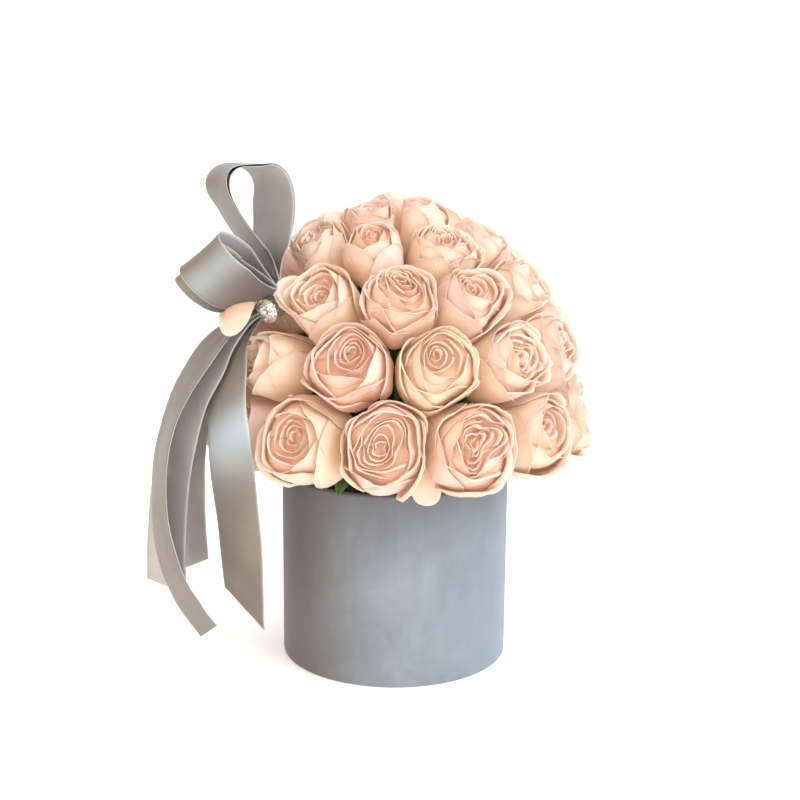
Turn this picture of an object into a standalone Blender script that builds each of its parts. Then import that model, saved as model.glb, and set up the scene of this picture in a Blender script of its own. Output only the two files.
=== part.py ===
"""A round velvet-covered hat box filled with a dome of cut roses, with a ribbon bow and its long tails.

Metres, +Z up. The origin is the centre of the underside of the box, on the surface that it stands on.
-Y is the front, +X is the right-hand side, and an azimuth is 0 at the front and grows towards +X.
"""

import collections
import math
import random

import bmesh
import bpy
from mathutils import Vector

# Driving dimensions of the box
BOX_RADIUS = 0.080
BOX_HEIGHT = 0.135
BOX_SIDES = 36
VELVET = 0.0010
RIM_FLAP = 0.015
BOARD = 0.0030
LINER = 0.0010
LINER_DROP = 0.005
GAP = 0.0003

# The floral foam: a block with a domed top that stands above the rim
FOAM_SHOULDER = 0.128
FOAM_DOME = 0.070
FOAM_SIDES = 24
DOME_LATITUDES = (24, 46, 66)

# The roses. A head is measured in multiples of its own radius, along and out from its axis
STEM_RADIUS = 0.0025
STEM_SIDES = 5
STEM_DEPTH = 0.020
NECK = 0.22
HEAD_DEPTH = 1.72
HOLE_CLEARANCE = 0.0004
PRESS_GAP = 0.0004
SEED = 7

# The ribbon: a satin ribbon 38 mm wide, gathered to a third of that at the knot
RIBBON_WIDTH = 0.038
RIBBON_THICKNESS = 0.0007
GATHERED_WIDTH = 0.009
LOOP_GATHER = 0.036
TAIL_GATHER = 0.055
LOOP_STAND = 0.0012
LOOP_STEPS = 18
TAIL_STEPS = 13
KNOT = Vector((-0.078, -0.066, 0.259))
KNOT_RADIUS = 0.0080
KNOT_SIDES = 16
KNOT_RINGS = 10
BROOCH_RADIUS = 0.0075
BROOCH_THICKNESS = 0.0045
BROOCH_FACING = Vector((-0.38, -0.82, -0.44)).normalized()
PICK_RADIUS = 0.0016
PICK_FOOT = Vector((-0.0325, -0.0113, 0.169))
PICK_SIDES = 6

Ring = collections.namedtuple("Ring", "letter height radius tilt head front behind foot")
Rose = collections.namedtuple("Rose", "name face axis side up head mouth foot seed")
BEHIND_GROWTH = 1.10

# Five rings of roses from the rim to the crown: the height and radius of the middle of each flower's
# face, its tilt above the level, the radius of its head, the azimuths of the roses seen from the front,
# how many more share the arc behind them, and the radius at which their stems enter the foam. The
# roses behind stand a little further apart and are a little larger.
RINGS = (
    Ring("a", 0.181, 0.127, 14, 0.0350, (-58.0, -30.5, -3.0, 24.0, 51.0, 79.0), 6, 0.064),
    Ring("b", 0.229, 0.116, 24, 0.0340, (-86.0, -51.5, -15.5, 14.5, 44.5, 71.0), 5, 0.048),
    Ring("c", 0.269, 0.093, 40, 0.0310, (-71.0, -33.0, 1.5, 34.0, 76.0), 5, 0.036),
    Ring("d", 0.297, 0.062, 57, 0.0280, (-66.0, -15.0, 34.0, 84.0), 3, 0.022),
    Ring("e", 0.315, 0.024, 78, 0.0270, (-48.0, 50.0), 1, 0.008),
)

# Whorls of petals, outermost first: how many petals and how many points each rim has, the radius and
# height of the rims, the radius and height of the groove inside them, how far one edge of a petal
# stands over the next, and how much higher the middle of a rim is than its ends.
Whorl = collections.namedtuple(
    "Whorl", "petals points rim_radius rim_height groove_radius groove_height lap crest"
)
WHORLS = (
    Whorl(5, 4, 1.00, -0.30, 0.72, -0.54, 0.055, 0.09),
    Whorl(5, 4, 0.79, -0.02, 0.50, -0.36, 0.050, 0.07),
    Whorl(3, 4, 0.56, 0.05, 0.26, -0.22, 0.050, 0.06),
    Whorl(3, 3, 0.31, 0.08, 0.10, -0.12, 0.040, 0.04),
)
CALYX = (0.20, -1.72)
CUP = (0.50, -1.40)
BELLY = (0.86, -0.84)
CUP_SIDES = 10
PETAL_SPAN = 0.94
OUTER_ROOM = 1.08


def clear_scene():
    for old in list(bpy.data.objects):
        bpy.data.objects.remove(old, do_unlink=True)


def finish(name, colour, roughness, metallic=0.0):
    """A Principled material."""
    made = bpy.data.materials.new(name)
    made.use_nodes = True
    shader = made.node_tree.nodes["Principled BSDF"]
    shader.inputs["Base Color"].default_value = (*colour, 1.0)
    shader.inputs["Roughness"].default_value = roughness
    shader.inputs["Metallic"].default_value = metallic
    return made


def add_object(name, shape, material=None):
    """Turns the faces of a closed shape outwards and puts it in the scene."""
    bmesh.ops.recalc_face_normals(shape, faces=shape.faces)
    mesh = bpy.data.meshes.new(name)
    shape.to_mesh(mesh)
    shape.free()
    made = bpy.data.objects.new(name, mesh)
    if material:
        mesh.materials.append(material)
    bpy.context.scene.collection.objects.link(made)
    return made


def compass(azimuth):
    """The level unit vector at this azimuth in degrees, 0 at the front."""
    turn = math.radians(azimuth)
    return Vector((math.sin(turn), -math.cos(turn), 0.0))


def polar(azimuth, radius, height):
    return compass(azimuth) * radius + Vector((0.0, 0.0, height))


def smooth(amount):
    amount = min(max(amount, 0.0), 1.0)
    return amount * amount * (3.0 - 2.0 * amount)


def turned(name, profile, sides, material, closed=False):
    """A solid of revolution about Z. An open profile starts and ends on the axis."""
    shape = bmesh.new()
    points = [shape.verts.new((radius, 0.0, height)) for radius, height in profile]
    edges = [shape.edges.new(pair) for pair in zip(points, points[1:])]
    if closed:
        edges.append(shape.edges.new((points[-1], points[0])))
    bmesh.ops.spin(
        shape, geom=points + edges, cent=(0, 0, 0), axis=(0, 0, 1), angle=2 * math.pi, steps=sides,
        use_merge=True,
    )
    bmesh.ops.remove_doubles(shape, verts=shape.verts, dist=1e-6)
    bmesh.ops.dissolve_degenerate(shape, edges=shape.edges, dist=1e-7)
    return add_object(name, shape, material)


def join_rings(shape, lower, upper):
    """Triangles between two closed rings of (angle, vertex), each sorted by its angle within one turn."""
    total = len(lower) + len(upper)
    a = b = 0
    start = min(range(len(upper)), key=lambda i: abs(wrapped(upper[i][0] - lower[0][0])))

    def low(i):
        return lower[i % len(lower)][1], lower[i % len(lower)][0] + 360.0 * (i // len(lower))

    def high(i):
        i += start
        angle = upper[i % len(upper)][0] + 360.0 * (i // len(upper))
        return upper[i % len(upper)][1], angle + shift

    shift = 0.0
    shift = -360.0 * round((high(0)[1] - lower[0][0]) / 360.0)
    for _ in range(total):
        if b == len(upper) or (a < len(lower) and low(a + 1)[1] <= high(b + 1)[1]):
            shape.faces.new((low(a)[0], low(a + 1)[0], high(b)[0]))
            a += 1
        else:
            shape.faces.new((low(a)[0], high(b + 1)[0], high(b)[0]))
            b += 1


def wrapped(angle):
    """An angle in degrees brought between -180 and 180."""
    return (angle + 180.0) % 360.0 - 180.0


def add_ring(shape, places):
    return [(angle, shape.verts.new(place)) for angle, place in places]


def ring_azimuths(ring):
    """The front azimuths, then the others spread evenly over the arc behind."""
    arc = ring.front[0] + 360.0 - ring.front[-1]
    step = arc / (ring.behind + 1)
    return list(ring.front) + [ring.front[-1] + step * (k + 1) for k in range(ring.behind)]


def foam_height(radius):
    return FOAM_SHOULDER + FOAM_DOME * math.sqrt(1.0 - (radius / FOAM_RADIUS) ** 2)


FLAP_INNER = BOX_RADIUS - 2 * VELVET - BOARD - 2 * GAP
LINER_RADIUS = FLAP_INNER - GAP
FOAM_RADIUS = LINER_RADIUS - LINER - GAP
TUBE_INNER = FLAP_INNER + VELVET + GAP
FLOOR_TOP = VELVET + GAP + BOARD


def place_roses():
    """Where every rose sits: face, axis, and the mouth and foot of its hole in the foam."""
    roses = []
    for ring in RINGS:
        for number, azimuth in enumerate(ring_azimuths(ring), start=1):
            tilt = math.radians(ring.tilt)
            axis = compass(azimuth) * math.cos(tilt) + Vector((0, 0, math.sin(tilt)))
            side = Vector((0, 0, 1)).cross(axis).normalized()
            head = ring.head * (BEHIND_GROWTH if number > len(ring.front) else 1.0)
            face = polar(azimuth, ring.radius, ring.height)
            calyx = face - axis * HEAD_DEPTH * head
            mouth = polar(azimuth, ring.foot, foam_height(ring.foot))
            along = (mouth - calyx).normalized()
            roses.append(
                Rose(
                    f"rose_{ring.letter}{number:02d}", face, axis, side, axis.cross(side), head,
                    mouth, mouth + along * STEM_DEPTH, SEED + len(roses),
                )
            )
    return roses


def stem_along(rose):
    return (rose.foot - rose.mouth).normalized()


def stem_ring(rose, centre, radius):
    """A five-sided ring across the stem, turned like the calyx above it."""
    along = stem_along(rose)
    places = []
    for k in range(STEM_SIDES):
        angle = 360.0 / STEM_SIDES * k
        turn = math.radians(angle)
        out = rose.side * math.cos(turn) + rose.up * math.sin(turn)
        out = (out - along * out.dot(along)).normalized()
        places.append((angle, centre + out * radius))
    return places


def closest_points(first, second):
    """The nearest points of two segments, each given by its two ends."""
    best = None
    for i in range(21):
        on_first = first[0].lerp(first[1], i / 20)
        span = second[1] - second[0]
        length = span.length_squared
        amount = (on_first - second[0]).dot(span) / length if length else 0.0
        on_second = second[0] + span * min(max(amount, 0.0), 1.0)
        distance = (on_second - on_first).length
        if best is None or distance < best[0]:
            best = (distance, on_first, on_second)
    return best[1], best[2]


def pressed_by(rose, others, obstacles):
    """The planes that a flower's neighbours press it back to, as (normal, offset)."""
    planes = []
    calyx = rose.face - rose.axis * HEAD_DEPTH * rose.head
    for other in others:
        if other is rose or (other.face - rose.face).length > rose.head + other.head + 0.012:
            continue
        other_calyx = other.face - other.axis * HEAD_DEPTH * other.head
        share = rose.head / (rose.head + other.head)
        near = rose.face.lerp(other.face, share)
        deep = calyx.lerp(other_calyx, share)
        seam = (near - deep).normalized()
        across = other.face - rose.face
        normal = (across - seam * across.dot(seam)).normalized()
        planes.append((normal, normal.dot(near) - PRESS_GAP / 2))
    for start, end, radius in obstacles:
        mine, theirs = closest_points((calyx, rose.face), (start, end))
        if (theirs - mine).length > rose.head + radius + 0.002:
            continue
        normal = (theirs - mine).normalized()
        planes.append((normal, min(normal.dot(start), normal.dot(end)) - radius - PRESS_GAP))
    return planes


def outside_radius(height):
    """The radius of the flower's outside at this height, both in head radii."""
    rim = WHORLS[0]
    profile = (CALYX, CUP, BELLY, (rim.rim_radius + rim.lap, rim.rim_height - rim.crest))
    for (r0, h0), (r1, h1) in zip(profile, profile[1:]):
        if height <= h1:
            amount = max((height - h0) / (h1 - h0), 0.0)
            return r0 + (r1 - r0) * amount
    return profile[-1][0]


def petal_place(rose, planes, angle, radius, height):
    """A point of the flower, drawn in towards its axis where a neighbour presses on it."""
    turn = math.radians(angle)
    out = rose.side * math.cos(turn) + rose.up * math.sin(turn)
    centre = rose.face + rose.axis * height * rose.head
    widest = outside_radius(height) * OUTER_ROOM * rose.head
    allowed = widest
    for normal, offset in planes:
        lean = normal.dot(out)
        if lean > 1e-6:
            allowed = min(allowed, (offset - normal.dot(centre)) / lean)
    # The outer petals give way most. Under a hard press all give way alike, so that none cross.
    power = 1.0 + smooth((allowed / widest - 0.5) / 0.3)
    free = radius * rose.head
    return centre + out * (free - (widest - allowed) * (free / widest) ** power)


def whorl_ring(whorl, phase, radius, height, strength, ruffle=None):
    """A ring of (angle, radius, height) in petals, each of which starts outside and ends tucked in."""
    span = 360.0 / whorl.petals
    points = []
    for petal in range(whorl.petals):
        flare, lift = ruffle[petal] if ruffle else (0.0, 0.0)
        for point in range(whorl.points):
            share = point / (whorl.points - 1)
            bow = math.sin(math.pi * share)
            points.append((
                phase + span * (petal + PETAL_SPAN * share),
                radius + strength * whorl.lap * (1.0 - 2.0 * share * share) + flare * bow,
                height + strength * whorl.crest * (1.7 * bow - 0.7) + lift,
            ))
    return points


def model_rose(rose, planes, material):
    """One rose as a single body: its stem, its calyx, and petals in four overlapping whorls."""
    draw = random.Random(rose.seed)
    shape = bmesh.new()

    def ring(points):
        ordered = sorted(((angle % 360.0), radius, height) for angle, radius, height in points)
        return add_ring(shape, [(angle, petal_place(rose, planes, angle, r, h)) for angle, r, h in ordered])

    calyx = rose.face - rose.axis * HEAD_DEPTH * rose.head
    end = add_ring(shape, stem_ring(rose, rose.foot, STEM_RADIUS))
    neck_centre = calyx + stem_along(rose) * NECK * rose.head
    neck = add_ring(shape, stem_ring(rose, neck_centre, STEM_RADIUS))
    shape.faces.new([vertex for _, vertex in end])
    join_rings(shape, end, neck)

    bottom = ring([(360.0 / STEM_SIDES * k, *CALYX) for k in range(STEM_SIDES)])
    join_rings(shape, neck, bottom)
    cup = ring([(360.0 / CUP_SIDES * k, *CUP) for k in range(CUP_SIDES)])
    join_rings(shape, bottom, cup)
    phase = draw.uniform(0.0, 72.0)
    last = ring(whorl_ring(WHORLS[0], phase, *BELLY, 0.8))
    join_rings(shape, cup, last)
    for whorl, inner in zip(WHORLS, WHORLS[1:] + (None,)):
        ruffle = [(draw.uniform(-0.03, 0.05), draw.uniform(-0.03, 0.03)) for _ in range(whorl.petals)]
        rim = ring(whorl_ring(whorl, phase, whorl.rim_radius, whorl.rim_height, 1.0, ruffle))
        join_rings(shape, last, rim)
        phase += 180.0 / whorl.petals + draw.uniform(-8.0, 8.0)
        groove = (whorl.groove_radius, whorl.groove_height)
        if inner:
            last = ring(whorl_ring(inner, phase, *groove, 0.4))
        else:
            last = ring([(phase + 120.0 * k, *groove) for k in range(3)])
        join_rings(shape, rim, last)
    shape.faces.new([vertex for _, vertex in last])
    bmesh.ops.triangulate(shape, faces=shape.faces)
    return add_object(rose.name, shape, material)


def model_box(velvet, board, plastic):
    """The board tube and floor, the velvet glued over them, and the plastic liner inside."""
    top = BOX_HEIGHT
    outer = BOX_RADIUS
    board_outer = outer - VELVET - GAP
    turned(
        "velvet_cover",
        [
            (0.0, 0.0), (outer, 0.0), (outer, top), (FLAP_INNER, top), (FLAP_INNER, top - RIM_FLAP),
            (FLAP_INNER + VELVET, top - RIM_FLAP), (FLAP_INNER + VELVET, top - VELVET),
            (outer - VELVET, top - VELVET), (outer - VELVET, VELVET), (0.0, VELVET),
        ],
        BOX_SIDES, velvet,
    )
    low = VELVET + GAP
    high = top - VELVET - GAP
    turned(
        "box_tube",
        [(TUBE_INNER, low), (board_outer, low), (board_outer, high), (TUBE_INNER, high)],
        BOX_SIDES, board, closed=True,
    )
    floor = TUBE_INNER - GAP
    turned("box_floor", [(0.0, low), (floor, low), (floor, FLOOR_TOP), (0.0, FLOOR_TOP)], BOX_SIDES, board)
    low = FLOOR_TOP + GAP
    high = top - LINER_DROP
    turned(
        "plastic_liner",
        [
            (0.0, low), (LINER_RADIUS, low), (LINER_RADIUS, high), (LINER_RADIUS - LINER, high),
            (LINER_RADIUS - LINER, low + LINER), (0.0, low + LINER),
        ],
        BOX_SIDES, plastic,
    )


def add_prism(shape, first, last):
    """A closed prism between two rings of places."""
    lower = [shape.verts.new(place) for place in first]
    upper = [shape.verts.new(place) for place in last]
    shape.faces.new(lower)
    shape.faces.new(upper)
    count = len(lower)
    for k in range(count):
        shape.faces.new((lower[k], lower[(k + 1) % count], upper[(k + 1) % count], upper[k]))


def tube_ring(centre, along, radius, sides):
    side = along.orthogonal().normalized()
    up = along.cross(side)
    turns = [2 * math.pi * k / sides for k in range(sides)]
    return [centre + (side * math.cos(t) + up * math.sin(t)) * radius for t in turns]


def model_foam(roses, leaf_stalk, material):
    """The foam, with a plain hole for each stem, for the bow's pick and for the leaf's stalk."""
    base = FLOOR_TOP + GAP + LINER + GAP
    profile = [(0.0, base), (FOAM_RADIUS, base), (FOAM_RADIUS, FOAM_SHOULDER)]
    for latitude in DOME_LATITUDES:
        turn = math.radians(latitude)
        profile.append((FOAM_RADIUS * math.cos(turn), FOAM_SHOULDER + FOAM_DOME * math.sin(turn)))
    profile.append((0.0, FOAM_SHOULDER + FOAM_DOME))
    foam = turned("floral_foam", profile, FOAM_SIDES, material)

    holes = bmesh.new()
    above = 0.012
    for rose in roses:
        along = stem_along(rose)
        radius = STEM_RADIUS + HOLE_CLEARANCE
        top = stem_ring(rose, rose.mouth - along * above, radius)
        bottom = stem_ring(rose, rose.foot + along * GAP, radius)
        add_prism(holes, [place for _, place in top], [place for _, place in bottom])
    along = (PICK_FOOT - KNOT).normalized()
    add_prism(
        holes,
        tube_ring(PICK_FOOT - along * 0.040, along, PICK_RADIUS + HOLE_CLEARANCE, PICK_SIDES),
        tube_ring(PICK_FOOT + along * GAP, along, PICK_RADIUS + HOLE_CLEARANCE, PICK_SIDES),
    )
    start, end = leaf_stalk
    along = (end - start).normalized()
    add_prism(
        holes,
        tube_ring(start, along, STALK_RADIUS + HOLE_CLEARANCE, PICK_SIDES),
        tube_ring(end + along * GAP, along, STALK_RADIUS + HOLE_CLEARANCE, PICK_SIDES),
    )
    cutter = add_object("stem_holes", holes)
    cutter.hide_render = True
    cutter.display_type = "WIRE"
    cut = foam.modifiers.new("stem holes", "BOOLEAN")
    cut.object = cutter
    cut.operation = "DIFFERENCE"
    cut.solver = "MANIFOLD"
    return foam


def curve_at(points, amount):
    """A smooth curve through a list of vectors, read at a share of its length in points."""
    last = len(points) - 1
    position = min(max(amount, 0.0), 1.0) * last
    index = min(int(position), last - 1)
    t = position - index
    p1, p2 = points[index], points[index + 1]
    p0 = points[index - 1] if index else p1 * 2 - p2
    p3 = points[index + 2] if index + 2 <= last else p2 * 2 - p1
    return 0.5 * (
        p1 * 2 + (p2 - p0) * t + (p0 * 2 - p1 * 5 + p2 * 4 - p3) * t * t
        + (p1 * 3 - p0 - p2 * 3 + p3) * t ** 3
    )


def model_ribbon(name, stations, material):
    """A flat ribbon through stations of (centre, direction across, width), alike on both faces."""
    shape = bmesh.new()
    rows = []
    count = len(stations)
    for index, (centre, across, width) in enumerate(stations):
        before = stations[max(index - 1, 0)][0]
        after = stations[min(index + 1, count - 1)][0]
        along = (after - before).normalized()
        across = (across - along * across.dot(along)).normalized()
        out = along.cross(across) * RIBBON_THICKNESS / 2
        half = across * width / 2
        rows.append([
            shape.verts.new(centre + half + out), shape.verts.new(centre - half + out),
            shape.verts.new(centre - half - out), shape.verts.new(centre + half - out),
        ])
    for lower, upper in zip(rows, rows[1:]):
        for k in range(4):
            following = (k + 1) % 4
            # The two faces share the diagonal between the same two edges of the ribbon.
            if k in (0, 1):
                shape.faces.new((lower[k], lower[following], upper[following]))
                shape.faces.new((lower[k], upper[following], upper[k]))
            else:
                shape.faces.new((lower[k], lower[following], upper[k]))
                shape.faces.new((lower[following], upper[following], upper[k]))
    shape.faces.new(rows[0])
    shape.faces.new(rows[-1])
    bmesh.ops.triangulate(shape, faces=[face for face in shape.faces if len(face.verts) > 3])
    return add_object(name, shape, material)


def gathered(distance, length):
    """The width of the ribbon at this distance from the knot, where it opens out over a length."""
    return GATHERED_WIDTH + (RIBBON_WIDTH - GATHERED_WIDTH) * smooth(distance / length)


Loop = collections.namedtuple("Loop", "name root toward across length spread drift base_gap")

# The bow's loops: two that stand up and two that reach to the left, each pair one inside the other.
# Each has the side of the knot it starts from, the direction it reaches in, the direction of its width,
# its length and spread, how far it drifts along its width, and the space between its two ends.
UP_ROOT = (0.14, 0.38, 0.91)
UP = (-0.24, 0.39, 0.89)
UP_ACROSS = (-0.57, 0.82, 0.0)
SIDE_ROOT = (-0.88, -0.12, 0.34)
SIDE = (-0.70, -0.34, 0.63)
SIDE_ACROSS = (0.76, -0.30, 0.60)
LOOPS = (
    Loop("bow_loop_up_inner", UP_ROOT, UP, UP_ACROSS, 0.082, 0.0250, 0.003, 0.0026),
    Loop("bow_loop_up_outer", UP_ROOT, UP, UP_ACROSS, 0.087, 0.0310, 0.008, 0.0052),
    Loop("bow_loop_side_outer", SIDE_ROOT, SIDE, SIDE_ACROSS, 0.058, 0.0155, 0.0, 0.0052),
    Loop("bow_loop_side_inner", SIDE_ROOT, SIDE, SIDE_ACROSS, 0.054, 0.0110, -0.008, 0.0026),
)


def loop_stations(loop):
    """A teardrop from the knot and back, read evenly along its angle."""
    toward = Vector(loop.toward).normalized()
    across = Vector(loop.across)
    across = (across - toward * across.dot(toward)).normalized()
    side = toward.cross(across)
    first = math.sqrt(2.0 * (loop.base_gap / 2) / loop.spread)
    rise = loop.length * (1.0 - math.cos(first)) / 2
    start = KNOT + Vector(loop.root).normalized() * (KNOT_RADIUS + LOOP_STAND) - toward * rise
    stations = []
    for k in range(LOOP_STEPS + 1):
        phi = first + (2 * math.pi - 2 * first) * k / LOOP_STEPS
        reach = loop.length * (1.0 - math.cos(phi)) / 2
        swing = loop.spread * math.sin(phi) * math.sin(phi / 2)
        open_share = smooth((reach - rise) / LOOP_GATHER)
        centre = start + toward * reach + side * swing + across * loop.drift * open_share
        stations.append((centre, across, gathered(reach - rise, LOOP_GATHER)))
    return stations


Tail = collections.namedtuple("Tail", "name layer route")

# The four tails leave the knot stacked one above the other, each in its layer. Below are points down
# the middle of each, after its seat on the knot: x, y, z in millimetres and the azimuth it faces.
TAIL_ROOT = Vector((-0.80, 0.36, -0.48))
TAIL_STACK = Vector((-0.53, -0.37, 0.77)).normalized()
TAIL_SPACING = 0.0012
TAIL_STAND = 0.0005
ROOT_FACING = -55
TAILS = (
    Tail("bow_tail_front", -0.5, (
        (-98, -62, 241, -50), (-108, -70, 226, -44), (-110, -81, 202, -42), (-109, -86, 178, -42),
        (-107, -84, 145, -42), (-104, -79, 105, -42), (-101, -74, 66, -42), (-100, -71, 37, -42),
    )),
    Tail("bow_tail_inner", -1.5, (
        (-102, -53, 240, -52), (-122, -51, 215, -48), (-135, -49, 184, -46), (-140, -47, 150, -46),
        (-141, -45, 116, -46), (-139, -45, 84, -46),
    )),
    Tail("bow_tail_back", 0.5, (
        (-101, -62, 245, -52), (-118, -66, 226, -48), (-136, -68, 192, -46), (-147, -65, 152, -46),
        (-151, -64, 112, -46), (-151, -63, 74, -46),
    )),
    Tail("bow_tail_curl", 1.5, (
        (-104, -65, 248, -58), (-124, -71, 228, -64), (-143, -76, 196, -68), (-153.5, -77, 160, -72),
        (-157, -78, 124, -70), (-152, -79, 88, -62), (-140, -79, 60, -56), (-124, -79, 36, -54),
    )),
)


def tail_seat(layer):
    """The middle of a tail's end, against the round of the knot."""
    aside = layer * TAIL_SPACING
    out = (TAIL_ROOT - TAIL_STACK * TAIL_ROOT.dot(TAIL_STACK)).normalized()
    reach = math.sqrt((KNOT_RADIUS + TAIL_STAND) ** 2 - aside ** 2)
    return KNOT + out * reach + TAIL_STACK * aside


def tail_stations(tail):
    """The ribbon's middle and its width's direction down one tail."""
    middle = [tail_seat(tail.layer)] + [Vector((x, y, z)) * 0.001 for x, y, z, _ in tail.route]
    turns = [Vector((azimuth, 0, 0)) for azimuth in (ROOT_FACING, *(stop[3] for stop in tail.route))]
    stations = []
    travelled = 0.0
    before = middle[0]
    for k in range(TAIL_STEPS + 1):
        amount = k / TAIL_STEPS
        centre = curve_at(middle, amount)
        travelled += (centre - before).length
        before = centre
        facing = compass(curve_at(turns, amount).x)
        across = Vector((-facing.y, facing.x, 0.0))
        stations.append((centre, across, gathered(travelled, TAIL_GATHER)))
    return stations


def model_knot(material):
    """The wrapped knot, a small faceted ball."""
    shape = bmesh.new()
    bmesh.ops.create_uvsphere(
        shape, u_segments=KNOT_SIDES, v_segments=KNOT_RINGS, radius=KNOT_RADIUS
    )
    bmesh.ops.translate(shape, verts=shape.verts, vec=KNOT)
    return add_object("bow_knot", shape, material)


def model_brooch(material):
    """A round cluster of stones: a disc with a raised cut stone at the middle and a ring of six."""
    facing = BROOCH_FACING
    back = KNOT + facing * (KNOT_RADIUS + GAP)
    side = facing.orthogonal().normalized()
    up = facing.cross(side)
    shape = bmesh.new()
    rows = ((0.80, 0.0), (1.00, 0.25), (0.84, 0.85), (0.52, 0.45), (0.34, 1.0))
    sides = 12
    rings = []
    for number, (radius, height) in enumerate(rows):
        places = []
        for k in range(sides):
            turn = 2 * math.pi * k / sides
            bump = 1.0 if number in (0, 4) else 1.0 - 0.10 * (k % 2)
            out = side * math.cos(turn) + up * math.sin(turn)
            places.append(
                (360.0 * k / sides, back + out * radius * bump * BROOCH_RADIUS + facing * height * BROOCH_THICKNESS)
            )
        rings.append(add_ring(shape, places))
    for lower, upper in zip(rings, rings[1:]):
        join_rings(shape, lower, upper)
    shape.faces.new([vertex for _, vertex in rings[0]])
    shape.faces.new([vertex for _, vertex in rings[-1]])
    bmesh.ops.triangulate(shape, faces=[face for face in shape.faces if len(face.verts) > 3])
    return add_object("brooch", shape, material)


def model_pick(material):
    """The wooden pick that carries the bow, pointed at its foot."""
    along = (PICK_FOOT - KNOT).normalized()
    head = KNOT + along * (KNOT_RADIUS + GAP)
    shape = bmesh.new()
    add_prism(
        shape,
        tube_ring(head, along, PICK_RADIUS, PICK_SIDES),
        tube_ring(PICK_FOOT, along, PICK_RADIUS * 0.5, PICK_SIDES),
    )
    return add_object("bow_pick", shape, material)


# The leaf at the rim: three toothed leaflets on one stalk, under the front roses
LEAF_AZIMUTH = -20.0
STALK_RADIUS = 0.0012
LEAF_THICKNESS = 0.0007
LEAF_FOOT = polar(LEAF_AZIMUTH, 0.056, 0.143)
LEAF_HEART = polar(LEAF_AZIMUTH, 0.088, 0.147)
LEAFLETS = ((-72.0, 0.026, 0.016, 0.00025), (0.0, 0.030, 0.019, 0.0), (68.0, 0.026, 0.016, -0.00025))
LEAF_TEETH = (0.30, 0.86, 0.72, 1.0, 0.66, 0.74, 0.34)


def model_leaf(material):
    """Three leaflets and their stalk, made apart and joined by a union."""
    pieces = bpy.data.collections.new("leaf pieces")
    bpy.context.scene.collection.children.link(pieces)
    out = compass(LEAF_AZIMUTH)
    left = compass(LEAF_AZIMUTH + 90.0)
    for number, (turn, length, width, raised) in enumerate(LEAFLETS):
        angle = math.radians(turn)
        reach = out * math.cos(angle) + left * math.sin(angle)
        flat = Vector((0, 0, 1)).cross(reach)
        shape = bmesh.new()
        rows = []
        steps = len(LEAF_TEETH) - 1
        for k, share in enumerate(LEAF_TEETH):
            along = k / steps
            centre = LEAF_HEART + reach * length * (along - 0.06)
            centre.z += raised + 0.004 * math.sin(math.pi * along) - 0.010 * along * along
            half = width / 2 * share
            lift = Vector((0, 0, LEAF_THICKNESS / 2))
            edge = Vector((0, 0, -0.0016 * share))
            rows.append([
                shape.verts.new(centre + flat * half + edge + lift), shape.verts.new(centre + lift),
                shape.verts.new(centre - flat * half + edge + lift),
                shape.verts.new(centre - flat * half + edge - lift), shape.verts.new(centre - lift),
                shape.verts.new(centre + flat * half + edge - lift),
            ])
        for lower, upper in zip(rows, rows[1:]):
            for k in range(6):
                following = (k + 1) % 6
                if k in (0, 1, 2):
                    shape.faces.new((lower[k], lower[following], upper[following]))
                    shape.faces.new((lower[k], upper[following], upper[k]))
                else:
                    shape.faces.new((lower[k], lower[following], upper[k]))
                    shape.faces.new((lower[following], upper[following], upper[k]))
        shape.faces.new(rows[0])
        shape.faces.new(rows[-1])
        blade = add_object(f"leaflet_{number}", shape)
        bpy.context.scene.collection.objects.unlink(blade)
        pieces.objects.link(blade)
    stalk = bmesh.new()
    along = (LEAF_FOOT - LEAF_HEART).normalized()
    add_prism(
        stalk,
        tube_ring(LEAF_HEART - along * 0.003, along, STALK_RADIUS, PICK_SIDES),
        tube_ring(LEAF_FOOT, along, STALK_RADIUS, PICK_SIDES),
    )
    leaf = add_object("leaf_at_rim", stalk, material)
    join_all(leaf, pieces)
    return leaf


def join_all(target, pieces):
    """Unites a collection's objects with the target, and removes them."""
    union = target.modifiers.new("union", "BOOLEAN")
    union.operation = "UNION"
    union.operand_type = "COLLECTION"
    union.collection = pieces
    union.solver = "EXACT"
    bpy.context.view_layer.update()
    graph = bpy.context.evaluated_depsgraph_get()
    joined = bpy.data.meshes.new_from_object(target.evaluated_get(graph))
    target.modifiers.clear()
    target.data = joined
    for piece in list(pieces.objects):
        bpy.data.objects.remove(piece, do_unlink=True)
    bpy.data.collections.remove(pieces)


def obstacles():
    """What the bow puts beside the roses, as (start, end, radius).

    They are its knot, brooch and pick, the roots of its tails, and the foot of its upright loops.
    """
    brooch = KNOT + BROOCH_FACING * (KNOT_RADIUS + GAP + BROOCH_THICKNESS / 2)
    return (
        (KNOT, KNOT, KNOT_RADIUS),
        (brooch, brooch, BROOCH_RADIUS),
        (KNOT, PICK_FOOT, PICK_RADIUS),
        (Vector((-0.086, -0.060, 0.252)), Vector((-0.100, -0.060, 0.246)), 0.0060),
        (Vector((-0.075, -0.055, 0.268)), Vector((-0.077, -0.036, 0.282)), 0.0060),
    )


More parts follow.
